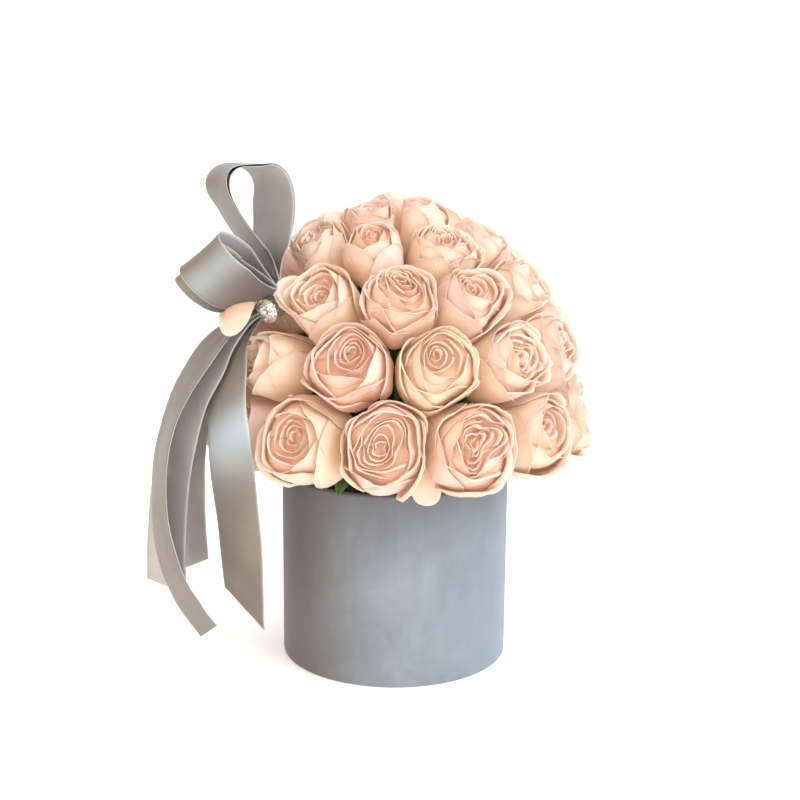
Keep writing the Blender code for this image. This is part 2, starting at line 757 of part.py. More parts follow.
def main():
    clear_scene()
    velvet = finish("grey velvet", (0.27, 0.27, 0.29), 0.92)
    board = finish("grey board", (0.42, 0.38, 0.34), 0.85)
    plastic = finish("clear plastic film", (0.80, 0.82, 0.82), 0.25)
    foam = finish("wet green foam", (0.06, 0.16, 0.07), 0.95)
    petals = finish("peach petals", (0.86, 0.53, 0.40), 0.55)
    satin = finish("mauve-grey satin", (0.40, 0.34, 0.34), 0.32)
    wood = finish("pale wood", (0.62, 0.47, 0.30), 0.65)
    stones = finish("champagne stones", (0.80, 0.74, 0.58), 0.12, 0.6)
    leaf = finish("dark leaf", (0.05, 0.13, 0.04), 0.5)

    roses = place_roses()
    around = obstacles()
    for rose in roses:
        model_rose(rose, pressed_by(rose, roses, around), petals)
    model_box(velvet, board, plastic)
    model_foam(roses, (LEAF_HEART, LEAF_FOOT), foam)
    for loop in LOOPS:
        model_ribbon(loop.name, loop_stations(loop), satin)
    for tail in TAILS:
        model_ribbon(tail.name, tail_stations(tail), satin)
    model_knot(satin)
    model_brooch(stones)
    model_pick(wood)
    model_leaf(leaf)


main()
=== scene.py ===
"""The looks of a round velvet hat box filled with peach roses, with a satin bow at its front left.

Metres, in the part's own frame: the origin is the centre of the underside of the box, +Z is up and
-Y is the front. An azimuth is 0 at the front and grows towards +X.
"""

import collections
import math
import random
from functools import partial

import bmesh
import bpy
from mathutils import Matrix, Vector, noise


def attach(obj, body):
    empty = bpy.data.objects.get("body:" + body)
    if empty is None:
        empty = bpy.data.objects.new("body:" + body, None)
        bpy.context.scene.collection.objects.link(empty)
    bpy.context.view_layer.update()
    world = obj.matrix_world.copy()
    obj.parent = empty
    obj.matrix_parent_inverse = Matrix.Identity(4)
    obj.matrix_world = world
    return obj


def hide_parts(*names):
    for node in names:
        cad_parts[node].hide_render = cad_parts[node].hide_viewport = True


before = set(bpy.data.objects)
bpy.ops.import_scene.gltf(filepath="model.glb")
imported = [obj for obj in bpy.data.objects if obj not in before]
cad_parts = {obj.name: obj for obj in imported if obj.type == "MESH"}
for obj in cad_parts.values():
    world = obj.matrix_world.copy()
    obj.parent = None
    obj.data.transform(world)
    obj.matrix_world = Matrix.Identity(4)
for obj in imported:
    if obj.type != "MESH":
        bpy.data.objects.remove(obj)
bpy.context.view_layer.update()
BODY = "root"

# The box
BOX_RADIUS = 0.080
BOX_HEIGHT = 0.135
VELVET = 0.0010
VELVET_SHOWN = 0.0008
RIM_FLAP = 0.015
BOARD = 0.0030
GAP = 0.0003
FLAP_INNER = BOX_RADIUS - 2 * VELVET - BOARD - 2 * GAP
FOAM_SHOULDER = 0.128
FOAM_DOME = 0.070
FOAM_RADIUS = FLAP_INNER - 2 * GAP - VELVET
WALL_SIDES = 160
SEAM_WIDTH = 0.006
SEAM_RISE = 0.0004

# The roses, in five rings from the rim to the crown. A head is measured in its own radius
STEM_RADIUS = 0.0025
STEM_SIDES = 10
STEM_DEPTH = 0.020
SEPAL_THICKNESS = 0.0005
HEAD_DEPTH = 1.72
HIP_RADIUS = 0.21
HIP_RISE = 0.10
PRESS_GAP = 0.0004
NEIGHBOUR_REACH = 0.012
OBSTACLE_REACH = 0.002
OUTER_ROOM = 1.08
ROUNDNESS = 9.5
BEHIND_GROWTH = 1.10
SEED = 7
SEPAL_SEED = 500
DEW_SEED = 900
PETAL_THICKNESS = 0.00045
RIM_THINNESS = 0.30
RIM_WIDTH = 0.10
GOLDEN_TURN = 137.508

Ring = collections.namedtuple("Ring", "letter height radius tilt head front behind foot")
RINGS = (
    Ring("a", 0.181, 0.127, 14, 0.0350, (-58.0, -30.5, -3.0, 24.0, 51.0, 79.0), 6, 0.064),
    Ring("b", 0.229, 0.116, 24, 0.0340, (-86.0, -51.5, -15.5, 14.5, 44.5, 71.0), 5, 0.048),
    Ring("c", 0.269, 0.093, 40, 0.0310, (-71.0, -33.0, 1.5, 34.0, 76.0), 5, 0.036),
    Ring("d", 0.297, 0.062, 57, 0.0280, (-66.0, -15.0, 34.0, 84.0), 3, 0.022),
    Ring("e", 0.315, 0.024, 78, 0.0270, (-48.0, 50.0), 1, 0.008),
)
# The outside of a head, as radius and height, both in head radii
HEAD_PROFILE = ((0.20, -1.72), (0.50, -1.40), (0.86, -0.84), (1.055, -0.39))
Rose = collections.namedtuple("Rose", "name face axis side up head mouth foot seed")

# How a rose opens: its petals, the rim radius of the outermost and of the innermost, how the rims are
# spaced between them, the radius of the outside, the heights of the outermost rim and of the highest
# one, how far the heart lies below that, how the rims roll out, how they ruffle, and the lobes that
# the heart folds into.
Kind = collections.namedtuple(
    "Kind", "petals rim heart spacing belly edge crown hollow roll ruffle lobes"
)
KINDS = {
    "open": Kind(22, 0.92, 0.07, 1.20, 1.03, -0.14, 0.10, 0.18, 1.9, 0.010, 0),
    "cupped": Kind(20, 0.84, 0.07, 1.05, 1.02, -0.08, 0.12, 0.18, 1.7, 0.008, 0),
    "ruffled": Kind(24, 0.94, 0.08, 1.10, 1.03, -0.14, 0.08, 0.12, 2.1, 0.032, 3),
    "hearted": Kind(25, 0.93, 0.08, 1.05, 1.03, -0.14, 0.08, 0.08, 2.0, 0.042, 2),
    "quartered": Kind(25, 0.93, 0.08, 1.05, 1.03, -0.14, 0.08, 0.08, 2.0, 0.026, 4),
    "bud": Kind(15, 0.66, 0.06, 0.95, 0.98, 0.02, 0.20, 0.14, 1.4, 0.005, 0),
}
LIP_START = 0.80
CORE_DEPTH = 0.11
CORE_WIDTH = 0.88
CORE_GRID = (24, 7)
# The roses that face the front: how each opens, its blush from cream at 0 to salmon pink at 1, and how
# far up its mouth turns, in head radii
FRONT_ROSES = {
    "rose_a01": ("cupped", 0.7, 0.1), "rose_a02": ("cupped", 0.12, 0.0),
    "rose_a03": ("hearted", 0.55, 0.0), "rose_a04": ("ruffled", 0.75, 0.05),
    "rose_a05": ("cupped", 0.4, 0.08), "rose_a06": ("ruffled", 0.25, 0.1),
    "rose_b01": ("open", 0.8, 0.1), "rose_b02": ("cupped", 0.4, 0.1),
    "rose_b03": ("open", 0.85, 0.28), "rose_b04": ("open", 0.0, 0.18),
    "rose_b05": ("ruffled", 0.3, 0.12), "rose_b06": ("ruffled", 0.7, 0.1),
    "rose_c01": ("open", 1.0, 0.2), "rose_c02": ("open", 0.25, 0.05),
    "rose_c03": ("hearted", 0.5, 0.42), "rose_c04": ("open", 0.65, 0.24),
    "rose_c05": ("ruffled", 0.35, 0.2), "rose_d01": ("ruffled", 0.35, 0.2),
    "rose_d02": ("bud", 0.7, 0.35), "rose_d03": ("ruffled", 0.3, 0.3),
    "rose_d04": ("cupped", 0.6, 0.2), "rose_e01": ("ruffled", 0.85, 0.2),
    "rose_e02": ("bud", 0.5, 0.3),
}
MOUTH_REACH = 1.1
ROSE_AT_BOW = "rose_c02"
ROSES_BY_TAIL = ("rose_a01", "rose_a02", "rose_b01", "rose_b02")
TAIL_GUARDS = 40
TAIL_CLEARANCE = 0.0018
TAIL_REACH = 0.020
DEWY_RINGS = "cde"
DROPS_EACH = 22
DROP_SIZES = (0.0004, 0.0009)
PETAL_GRIDS = ((8, (14, 13)), (18, (12, 10)), (99, (10, 7)))
PETAL_LAYERS = ("along", "across", "depth", "tint", "blush")
# Outer petals that have fallen away from their heads: points down the middle in millimetres, the way
# across, the width, the tint and the blush
Fallen = collections.namedtuple("Fallen", "name line across width tint blush")
FALLEN = (
    Fallen("rose_c01_petal_over_bow", (
        (-99, -44, 252), (-100.5, -60, 254.5), (-102, -73.5, 262), (-102.5, -81, 257),
        (-103, -83.5, 250), (-103.5, -86, 243),
    ), (-0.93, -0.10, -0.33), 0.024, 0.1, 1.0),
    Fallen("rose_a04_petal_at_rim", (
        (19, -92, 170), (19, -106, 163), (19.5, -111.5, 155), (20.5, -112, 149), (21.5, -111, 143),
        (22.5, -111.5, 138.5),
    ), (-0.96, -0.22, -0.10), 0.021, 0.3, 0.6),
)
FALLEN_NOTCH = 0.50
FALLEN_BOW = 0.0030
FALLEN_WAVE = 0.0030
FALLEN_GRID = (22, 22)

# The bow
RIBBON_WIDTH = 0.038
RIBBON_SHOWN = 0.00035
RIBBON_CELLS = 14
LOOP_CELLS = 110
TAIL_CELLS = 120
GATHERED_WIDTH = 0.009
LOOP_GATHER = 0.028
FAN_REACH = 0.50
TAIL_GATHER = 0.055
LOOP_STAND = 0.0012
PLEAT = 0.00055
CUP = 0.0010
WANDER = 0.0009
KNOT = Vector((-0.078, -0.066, 0.259))
KNOT_RADIUS = 0.0080
KNOT_LEAN = Vector((-0.45, 0.10, 0.88))
BROOCH_RADIUS = 0.0075
BROOCH_THICKNESS = 0.0045
BROOCH_FACING = Vector((-0.52, -0.82, -0.24)).normalized()
BROOCH_SHOWN = 1.18
# Rings of stones from the middle out: how many, how far out, how high, their size and their lean
STONE_RINGS = (
    (1, 0.0, 0.0033, 0.0020, 0.0), (7, 0.0037, 0.0024, 0.0012, 24.0),
    (13, 0.0061, 0.0010, 0.00125, 52.0),
)
PICK_RADIUS = 0.0016
PICK_FOOT = Vector((-0.0325, -0.0113, 0.169))

# What the two loops of a pair share: where they leave the knot, the way they reach and the way across,
# how far their tops twist and their sides fan in degrees, their width and place at the knot, and how
# soon their sides close
Pair = collections.namedtuple("Pair", "root toward across twist fan root_width aside closing")
UPRIGHT = Pair((0.14, 0.38, 0.91), (-0.24, 0.39, 0.89), (-0.57, 0.82, 0.0), 26.0, 15.0, 0.010, 0.0, 3.0)
LEFTWARD = Pair(
    (-0.88, -0.12, 0.34), (-0.70, -0.34, 0.63), (0.76, -0.30, 0.60), 0.0, 0.0, 0.021, 0.004, 1.0,
)
Loop = collections.namedtuple("Loop", "name pair length spread drift base_gap")
LOOPS = (
    Loop("bow_loop_up_inner", UPRIGHT, 0.0932, 0.0368, 0.005, 0.0026),
    Loop("bow_loop_up_outer", UPRIGHT, 0.0965, 0.0404, 0.006, 0.0052),
    Loop("bow_loop_side_outer", LEFTWARD, 0.058, 0.0155, 0.0, 0.0052),
    Loop("bow_loop_side_inner", LEFTWARD, 0.054, 0.0110, -0.008, 0.0026),
)
TAIL_ROOT = Vector((-0.80, 0.36, -0.48))
TAIL_STACK = Vector((-0.53, -0.37, 0.77)).normalized()
TAIL_SPACING = 0.0012
TAIL_STAND = 0.0005
ROOT_FACING = -55
# Points down the middle of each tail, in millimetres, with the azimuth that it faces, and how much
# shorter its left edge is than its right, as a share of its length, and whether its satin face shows
Tail = collections.namedtuple("Tail", "name layer slant satin_out route")
TAILS = (
    Tail("bow_tail_front", -0.5, 0.120, True, (
        (-98, -62, 241, -50), (-108, -70, 226, -44), (-110, -81, 202, -42), (-108, -86, 178, -38),
        (-105.5, -84, 145, -34), (-102.5, -79, 105, -36), (-100.5, -75, 66, -40), (-100, -73, 44, -42),
    )),
    Tail("bow_tail_inner", -1.5, -0.06, False, (
        (-102, -53, 240, -52), (-122, -51, 215, -48), (-135, -49, 184, -46), (-140, -47, 150, -46),
        (-141, -45, 112, -44), (-139, -45, 66, -42),
    )),
    Tail("bow_tail_back", 0.5, 0.0, False, (
        (-101, -62, 245, -52), (-118, -66, 226, -48), (-136, -68, 192, -46), (-147, -65, 152, -44),
        (-153, -64, 110, -40), (-155, -63, 66, -37),
    )),
    Tail("bow_tail_curl", 1.5, -0.03, True, (
        (-104, -65, 248, -58), (-124, -71, 228, -64), (-143, -76, 196, -68), (-153.5, -77, 160, -69),
        (-156, -78, 124, -65), (-150.5, -79, 88, -57), (-138.5, -79, 60, -48), (-122, -79, 37, -43),
    )),
)

# Painted highlight bands where a ribbon's satin would catch the light: the share of its length, how the
# band leans, its strength
PAINTED_SHEEN = {
    "bow_tail_front": ((0.505, -0.035, 0.85),),
    "bow_loop_side_outer": ((0.30, 0.0, 0.42), (0.70, 0.0, 0.42)),
    "bow_loop_up_outer": ((0.63, 0.0, 0.6),),
    "bow_loop_up_inner": ((0.48, -0.12, 0.9),),
}
# Painted shade on a ribbon: how much it is darkened all along, and how much more towards its end
PAINTED_DIMMING = {
    "bow_tail_front": (0.0, 0.45), "bow_tail_curl": (0.24, 0.0), "bow_loop_up_outer": (0.20, 0.0),
    "bow_loop_up_inner": (0.22, 0.0),
}
PAINTED_DIMMING_REACH = 0.16
PAINTED_SHEEN_SPREAD = 0.085
# Painted shade on the loops near the knot: full up to this distance from it, fading out over the next
SHADE_START = 0.020
SHADE_REACH = 0.044

# The leaf at the rim
LEAF_AZIMUTH = -20.0
STALK_RADIUS = 0.0012
LEAF_THICKNESS = 0.0004

# The camera stands where the photographer did
CAMERA_PLACE = Vector((0.0031, -1.0, 0.405))
CAMERA_PITCH = 12.55
CAMERA_ROLL = 0.45
PHOTO_SIZE = 800
FOCAL_PIXELS = 1454.4
SENSOR = 36.0


def compass(azimuth):
    """The level unit vector at this azimuth in degrees."""
    turn = math.radians(azimuth)
    return Vector((math.sin(turn), -math.cos(turn), 0.0))


def polar(azimuth, radius, height):
    return compass(azimuth) * radius + Vector((0.0, 0.0, height))


def smooth(amount):
    amount = min(max(amount, 0.0), 1.0)
    return amount * amount * (3.0 - 2.0 * amount)


def blended(low, high, amount):
    return low + (high - low) * amount


# Building materials


def set_inputs(node, values):
    for key, value in values.items():
        node.inputs[key].default_value = value


def new_material(name, settings):
    """A material and its Principled shader, with these inputs set."""
    made = bpy.data.materials.new(name)
    made.use_nodes = True
    shader = made.node_tree.nodes["Principled BSDF"]
    set_inputs(shader, settings)
    return made, shader


def add_node(material, kind, **settings):
    node = material.node_tree.nodes.new(kind)
    for key, value in settings.items():
        setattr(node, key, value)
    return node


def link(material, source, target):
    material.node_tree.links.new(source, target)


def point_value(material, name):
    return add_node(material, "ShaderNodeAttribute", attribute_name=name).outputs["Fac"]


def object_place(material, scale=(1.0, 1.0, 1.0)):
    place = add_node(material, "ShaderNodeTexCoord").outputs["Object"]
    mapping = add_node(material, "ShaderNodeMapping")
    set_inputs(mapping, {"Scale": scale})
    link(material, place, mapping.inputs["Vector"])
    return mapping.outputs["Vector"]


def noise_value(material, place, scale, detail=3.0, roughness=0.55, distortion=0.0):
    node = add_node(material, "ShaderNodeTexNoise")
    set_inputs(node, {
        "Scale": scale, "Detail": detail, "Roughness": roughness, "Distortion": distortion,
    })
    link(material, place, node.inputs["Vector"])
    return node.outputs["Fac"]


def combined(material, x, y, z):
    """A vector from three values, each a socket or a number."""
    node = add_node(material, "ShaderNodeCombineXYZ")
    for value, socket in zip((x, y, z), node.inputs):
        feed(material, value, socket)
    return node.outputs["Vector"]


def feed(material, value, socket):
    if isinstance(value, bpy.types.NodeSocket):
        link(material, value, socket)
    else:
        socket.default_value = value


def maths(material, operation, first, second=0.0, clamp=False):
    node = add_node(material, "ShaderNodeMath", operation=operation, use_clamp=clamp)
    feed(material, first, node.inputs[0])
    feed(material, second, node.inputs[1])
    return node.outputs[0]


def times(material, first, second):
    return maths(material, "MULTIPLY", first, second)


def parts_of(material, place):
    """The X, Y and Z outputs of a vector."""
    node = add_node(material, "ShaderNodeSeparateXYZ")
    link(material, place, node.inputs[0])
    return node.outputs


def remapped(material, value, low, high, new_low=0.0, new_high=1.0):
    node = add_node(material, "ShaderNodeMapRange", interpolation_type="SMOOTHSTEP")
    feed(material, value, node.inputs["Value"])
    set_inputs(node, {"From Min": low, "From Max": high, "To Min": new_low, "To Max": new_high})
    return node.outputs["Result"]


def colour_mix(material, amount, first, second, blend="MIX"):
    node = add_node(material, "ShaderNodeMix", data_type="RGBA", blend_type=blend)
    feed(material, amount, node.inputs[0])
    for value, socket in ((first, node.inputs[6]), (second, node.inputs[7])):
        feed(material, (*value, 1.0) if isinstance(value, tuple) else value, socket)
    return node.outputs[2]


def colour_ramp(material, value, stops):
    node = add_node(material, "ShaderNodeValToRGB")
    ramp = node.color_ramp
    while len(ramp.elements) < len(stops):
        ramp.elements.new(0.5)
    for element, (position, colour) in zip(ramp.elements, stops):
        element.position = position
        element.color = (*colour, 1.0)
    link(material, value, node.inputs["Fac"])
    return node.outputs["Color"]


def add_bump(material, shader, height, strength, distance):
    node = add_node(material, "ShaderNodeBump")
    set_inputs(node, {"Strength": strength, "Distance": distance})
    link(material, height, node.inputs["Height"])
    link(material, node.outputs["Normal"], shader.inputs["Normal"])


def petal_material():
    """Peach petals: greenish at the root, pale at the rim, deeper salmon towards the heart, partly their
    own colour and partly painted warm bounce light, with a faint painted glow.
    """
    # The faint emission in the petals' own colour is a painted glow, a fill light that lifts the shade
    # between the petals
    made, shader = new_material("rose petal", {
        "Emission Strength": 0.06, "Roughness": 0.48, "Specular IOR Level": 0.40,
        "Subsurface Weight": 0.30, "Subsurface Radius": (1.0, 0.85, 0.75), "Subsurface Scale": 0.0020,
    })
    along, across, depth, tint, blush = (point_value(made, name) for name in PETAL_LAYERS)
    cream = colour_ramp(made, along, (
        (0.00, (0.66, 0.57, 0.28)), (0.25, (0.92, 0.70, 0.44)), (0.65, (0.96, 0.72, 0.50)),
        (0.92, (0.96, 0.73, 0.52)), (1.00, (0.97, 0.745, 0.56)),
    ))
    salmon = colour_ramp(made, along, (
        (0.00, (0.68, 0.53, 0.28)), (0.25, (0.93, 0.57, 0.37)), (0.65, (0.96, 0.60, 0.43)),
        (0.92, (0.97, 0.63, 0.48)), (1.00, (0.97, 0.67, 0.54)),
    ))
    patches = noise_value(made, object_place(made), 45.0, 2.0)
    patches = times(made, maths(made, "SUBTRACT", patches, 0.5), 0.9)
    base = colour_mix(made, maths(made, "ADD", blush, patches, clamp=True), cream, salmon)
    # Deeper salmon down in the heart: partly the petals' own colour, partly painted warm bounce light in
    # the hollows
    hollow = times(made, remapped(made, depth, 0.25, 1.0), remapped(made, along, 1.0, 0.55))
    base = colour_mix(made, times(made, hollow, 0.75), base, (0.96, 0.50, 0.30))
    base = colour_mix(made, remapped(made, tint, 0.0, 1.0, 0.0, 0.35), base, (0.97, 0.74, 0.67))
    base = colour_mix(made, 1.0, base, (0.87, 0.88, 0.89), "MULTIPLY")
    link(made, base, shader.inputs["Base Color"])
    # Painted glow: the petals give off a little light in their own colour
    link(made, base, shader.inputs["Emission Color"])
    place = combined(made, times(made, across, 9.0), along, times(made, tint, 30.0))
    add_bump(made, shader, noise_value(made, place, 4.0, 4.0, 0.6), 0.35, 0.0006)
    return made


def green_material(name, dark, light, scale):
    """Leaf and stem green, with paler patches."""
    made, shader = new_material(name, {"Roughness": 0.45})
    patches = noise_value(made, object_place(made), scale, 4.0)
    link(made, colour_mix(made, patches, dark, light), shader.inputs["Base Color"])
    add_bump(made, shader, noise_value(made, object_place(made), scale * 6, 3.0), 0.3, 0.0004)
    return made


def velvet_material():
    """Short grey nap, brushed in soft patches this way and that, with painted light and shade over it."""
    made, shader = new_material("grey velvet", {
        "Roughness": 0.92, "Sheen Weight": 0.45, "Sheen Roughness": 0.45,
        "Sheen Tint": (0.78, 0.80, 0.86, 1.0),
    })
    place = object_place(made)
    clouds = noise_value(made, place, 22.0, 5.0, 0.62, 0.6)
    strokes = noise_value(made, object_place(made, (1.0, 1.0, 0.22)), 120.0, 3.0)
    nap = maths(made, "ADD", times(made, clouds, 0.75), times(made, strokes, 0.25))
    base = colour_ramp(made, nap, (
        (0.30, (0.222, 0.226, 0.244)), (0.50, (0.270, 0.288, 0.307)), (0.70, (0.318, 0.346, 0.372)),
    ))
    grain = noise_value(made, place, 2600.0, 2.0)
    base = colour_mix(made, times(made, grain, 0.25), base, (0.18, 0.18, 0.182))
    split = parts_of(made, place)
    # Painted light and shade: warm and dark to the left, cool to the right, and a painted shadow under the
    # roses
    for axis, start, end, most, colour in (
        ("X", -0.01, -0.079, 0.85, (0.110, 0.074, 0.054)),
        ("X", 0.02, 0.078, 0.6, (0.178, 0.212, 0.236)),
        ("Z", 0.080, BOX_HEIGHT, 0.45, (0.135, 0.126, 0.130)),
    ):
        base = colour_mix(made, remapped(made, split[axis], start, end, 0.0, most), base, colour)
    link(made, base, shader.inputs["Base Color"])
    add_bump(made, shader, grain, 0.5, 0.0005)
    return made


def satin_material(name, colour, dark, roughness, shine, weave, painted_sheen_share):
    """One face of the ribbon, satin or matte, with pale selvedges, painted sheen bands and painted shade.
    Its last argument is its share of the painted sheen.
    """
    made, shader = new_material(name, {
        "Roughness": roughness, "Metallic": shine, "Specular IOR Level": 0.30,
        "Specular Tint": (0.92, 0.97, 1.0, 1.0),
    })
    across = point_value(made, "across")
    length = point_value(made, "length")
    clouds = noise_value(made, object_place(made), 30.0, 3.0)
    base = colour_mix(made, remapped(made, clouds, 0.3, 0.7), dark, colour)
    # Painted highlight: the sheen bands lighten the face towards a pale cool grey
    sheen = times(made, point_value(made, "sheen"), painted_sheen_share)
    base = colour_mix(made, sheen, base, (0.62, 0.72, 0.76))
    # Painted shade: darker brown near the knot on the loops, and where a ribbon is painted dimmer
    base = colour_mix(made, point_value(made, "shade"), base, (0.13, 0.105, 0.09))
    edge = remapped(made, maths(made, "ABSOLUTE", across), 0.945, 0.975)
    base = colour_mix(made, times(made, edge, 0.55), base, (0.70, 0.63, 0.60))
    place = combined(made, times(made, across, 1.5), times(made, length, weave), 0.0)
    thread = noise_value(made, place, 8.0, 2.0)
    base = colour_mix(made, remapped(made, thread, 0.35, 0.65, 0.0, 0.22), base, dark)
    link(made, base, shader.inputs["Base Color"])
    add_bump(made, shader, thread, 0.25, 0.0003)
    return made


def plain_material(name, dark, light, scale, roughness, metallic=0.0, bump=0.0004):
    """A hidden or small piece: two tones of one stuff, with its grain."""
    made, shader = new_material(name, {"Roughness": roughness, "Metallic": metallic})
    grain = noise_value(made, object_place(made), scale, 4.0)
    link(made, colour_mix(made, grain, dark, light), shader.inputs["Base Color"])
    add_bump(made, shader, grain, 0.5, bump)
    return made


def clear_material(name, colour, roughness, ior):
    made, _ = new_material(name, {
        "Base Color": (*colour, 1.0), "Roughness": roughness, "IOR": ior, "Transmission Weight": 0.85,
    })
    return made


# Building shapes


def add_object(name, data):
    made = bpy.data.objects.new(name, data)
    bpy.context.scene.collection.objects.link(made)
    return made


def as_object(name, shape, *materials):
    """Puts a finished shape in the scene, smooth-shaded."""
    mesh = bpy.data.meshes.new(name)
    shape.to_mesh(mesh)
    shape.free()
    for material in materials:
        mesh.materials.append(material)
    mesh.shade_smooth()
    return add_object(name, mesh)


def new_piece(name, shape, *materials, slot=None):
    """The same for a piece that rides on the part."""
    made = as_object(name, shape, *materials)
    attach(made, BODY)
    return made


def add_wall(piece, thickness):
    """Gives a piece that is one surface its thickness, half to each side."""
    wall = piece.modifiers.new("thickness", "SOLIDIFY")
    wall.thickness = thickness
    wall.offset = 0.0
    return wall


def float_layers(shape, *names):
    return [shape.verts.layers.float.new(name) for name in names]


def set_values(vertex, layers, values):
    for layer, value in zip(layers, values):
        vertex[layer] = value


def grid_points(shape, wide, long):
    """The points of a new grid, each with its place across, -1 to 1, and along, 0 to 1."""
    made = bmesh.ops.create_grid(shape, x_segments=wide, y_segments=long, size=1.0)
    return [(vertex, vertex.co.x, (vertex.co.y + 1.0) / 2) for vertex in made["verts"]]


def thicken(shape, points, thickness):
    """Gives the faces between these grid points a thickness."""
    faces = list({face for vertex, _, _ in points for face in vertex.link_faces})
    bmesh.ops.solidify(shape, geom=faces, thickness=thickness)


def pointed(direction):
    """The turn that takes +Z to this direction."""
    return direction.to_track_quat("Z", "Y").to_matrix().to_4x4()


def add_cone(shape, sides, first_radius, last_radius, depth, matrix):
    return bmesh.ops.create_cone(
        shape, cap_ends=True, segments=sides, radius1=first_radius, radius2=last_radius, depth=depth,
        matrix=matrix,
    )["verts"]


def add_line(shape, places):
    """Points joined one to the next: the points, then the edges."""
    points = [shape.verts.new(place) for place in places]
    return points, [shape.edges.new(pair) for pair in zip(points, points[1:])]


def arc(centre, radius, first, last, steps):
    """Points round part of a circle, between two angles in degrees."""
    turns = [math.radians(blended(first, last, k / steps)) for k in range(steps + 1)]
    return [(centre[0] + radius * math.cos(t), centre[1] + radius * math.sin(t)) for t in turns]


def turned(profile, sides):
    """A closed solid of revolution about Z from a profile that starts and ends on the axis."""
    shape = bmesh.new()
    points, edges = add_line(shape, [(x, 0.0, z) for x, z in profile])
    bmesh.ops.spin(
        shape, geom=points + edges, cent=(0, 0, 0), axis=(0, 0, 1), angle=2 * math.pi, steps=sides,
        use_merge=True,
    )
    bmesh.ops.remove_doubles(shape, verts=shape.verts, dist=1e-6)
    bmesh.ops.recalc_face_normals(shape, faces=shape.faces)
    return shape


def curve_at(points, amount):
    """A smooth curve through a list of vectors, read at a share of its length in points."""
    last = len(points) - 1
    position = min(max(amount, 0.0), 1.0) * last
    index = min(int(position), last - 1)
    t = position - index
    p1, p2 = points[index], points[index + 1]
    p0 = points[index - 1] if index else p1 * 2 - p2
    p3 = points[index + 2] if index + 2 <= last else p2 * 2 - p1
    return 0.5 * (
        p1 * 2 + (p2 - p0) * t + (p0 * 2 - p1 * 5 + p2 * 4 - p3) * t * t
        + (p1 * 3 - p0 - p2 * 3 + p3) * t ** 3
    )


# The box


def model_velvet(velvet):
    """The velvet cover: a straight wall with softly rounded rim and foot, and a lap seam behind."""
    outer = BOX_RADIUS
    top = BOX_HEIGHT
    foot = 0.0014
    lip = 0.0022
    inside = VELVET_SHOWN
    profile = [(0.0, 0.0)]
    profile += arc((outer - foot, foot), foot, -90, 0, 5)
    profile += [(outer, blended(foot, top - lip, k / 12)) for k in range(1, 12)]
    profile += arc((outer - lip, top - lip), lip, 0, 90, 6)
    profile += arc((FLAP_INNER + lip, top - lip), lip, 90, 180, 6)
    profile += [(FLAP_INNER, top - RIM_FLAP), (FLAP_INNER + inside, top - RIM_FLAP)]
    profile += arc((FLAP_INNER + lip, top - lip), lip - inside, 180, 90, 4)
    profile += arc((outer - lip, top - lip), lip - inside, 90, 0, 4)
    profile += [(outer - inside, inside + foot), (outer - inside - foot, inside), (0.0, inside)]
    shape = turned(profile, WALL_SIDES)
    for vertex in shape.verts:
        flat = math.hypot(vertex.co.x, vertex.co.y)
        behind = vertex.co.x if vertex.co.y > 0 else 1.0
        if flat > outer - inside / 2 and abs(behind) < SEAM_WIDTH:
            grow = 1.0 + SEAM_RISE / flat
            vertex.co.x *= grow
            vertex.co.y *= grow
    cover = new_piece("velvet_box", shape, velvet, slot="grey_velvet")
    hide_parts("velvet_cover")


# The roses


def foam_height(radius):
    return FOAM_SHOULDER + FOAM_DOME * math.sqrt(1.0 - (radius / FOAM_RADIUS) ** 2)


def ring_azimuths(ring):
    """The front azimuths, then the others spread evenly over the arc behind."""
    arc_behind = ring.front[0] + 360.0 - ring.front[-1]
    step = arc_behind / (ring.behind + 1)
    return list(ring.front) + [ring.front[-1] + step * (k + 1) for k in range(ring.behind)]


def place_roses():
    roses = []
    for ring in RINGS:
        for number, azimuth in enumerate(ring_azimuths(ring), start=1):
            tilt = math.radians(ring.tilt)
            axis = compass(azimuth) * math.cos(tilt) + Vector((0, 0, math.sin(tilt)))
            side = Vector((0, 0, 1)).cross(axis).normalized()
            head = ring.head * (BEHIND_GROWTH if number > len(ring.front) else 1.0)
            face = polar(azimuth, ring.radius, ring.height)
            calyx = face - axis * HEAD_DEPTH * head
            mouth = polar(azimuth, ring.foot, foam_height(ring.foot))
            along = (mouth - calyx).normalized()
            roses.append(
                Rose(
                    f"rose_{ring.letter}{number:02d}", face, axis, side, axis.cross(side), head,
                    mouth, mouth + along * STEM_DEPTH, SEED + len(roses),
                )
            )
    return roses


def closest_points(first, second):
    """The nearest points of two segments, each given by its two ends."""
    best = None
    for i in range(21):
        on_first = first[0].lerp(first[1], i / 20)
        span = second[1] - second[0]
        length = span.length_squared
        amount = (on_first - second[0]).dot(span) / length if length else 0.0
        on_second = second[0] + span * min(max(amount, 0.0), 1.0)
        distance = (on_second - on_first).length
        if best is None or distance < best[0]:
            best = (distance, on_first, on_second)
    return best[1], best[2]


def calyx_of(rose):
    return rose.face - rose.axis * HEAD_DEPTH * rose.head


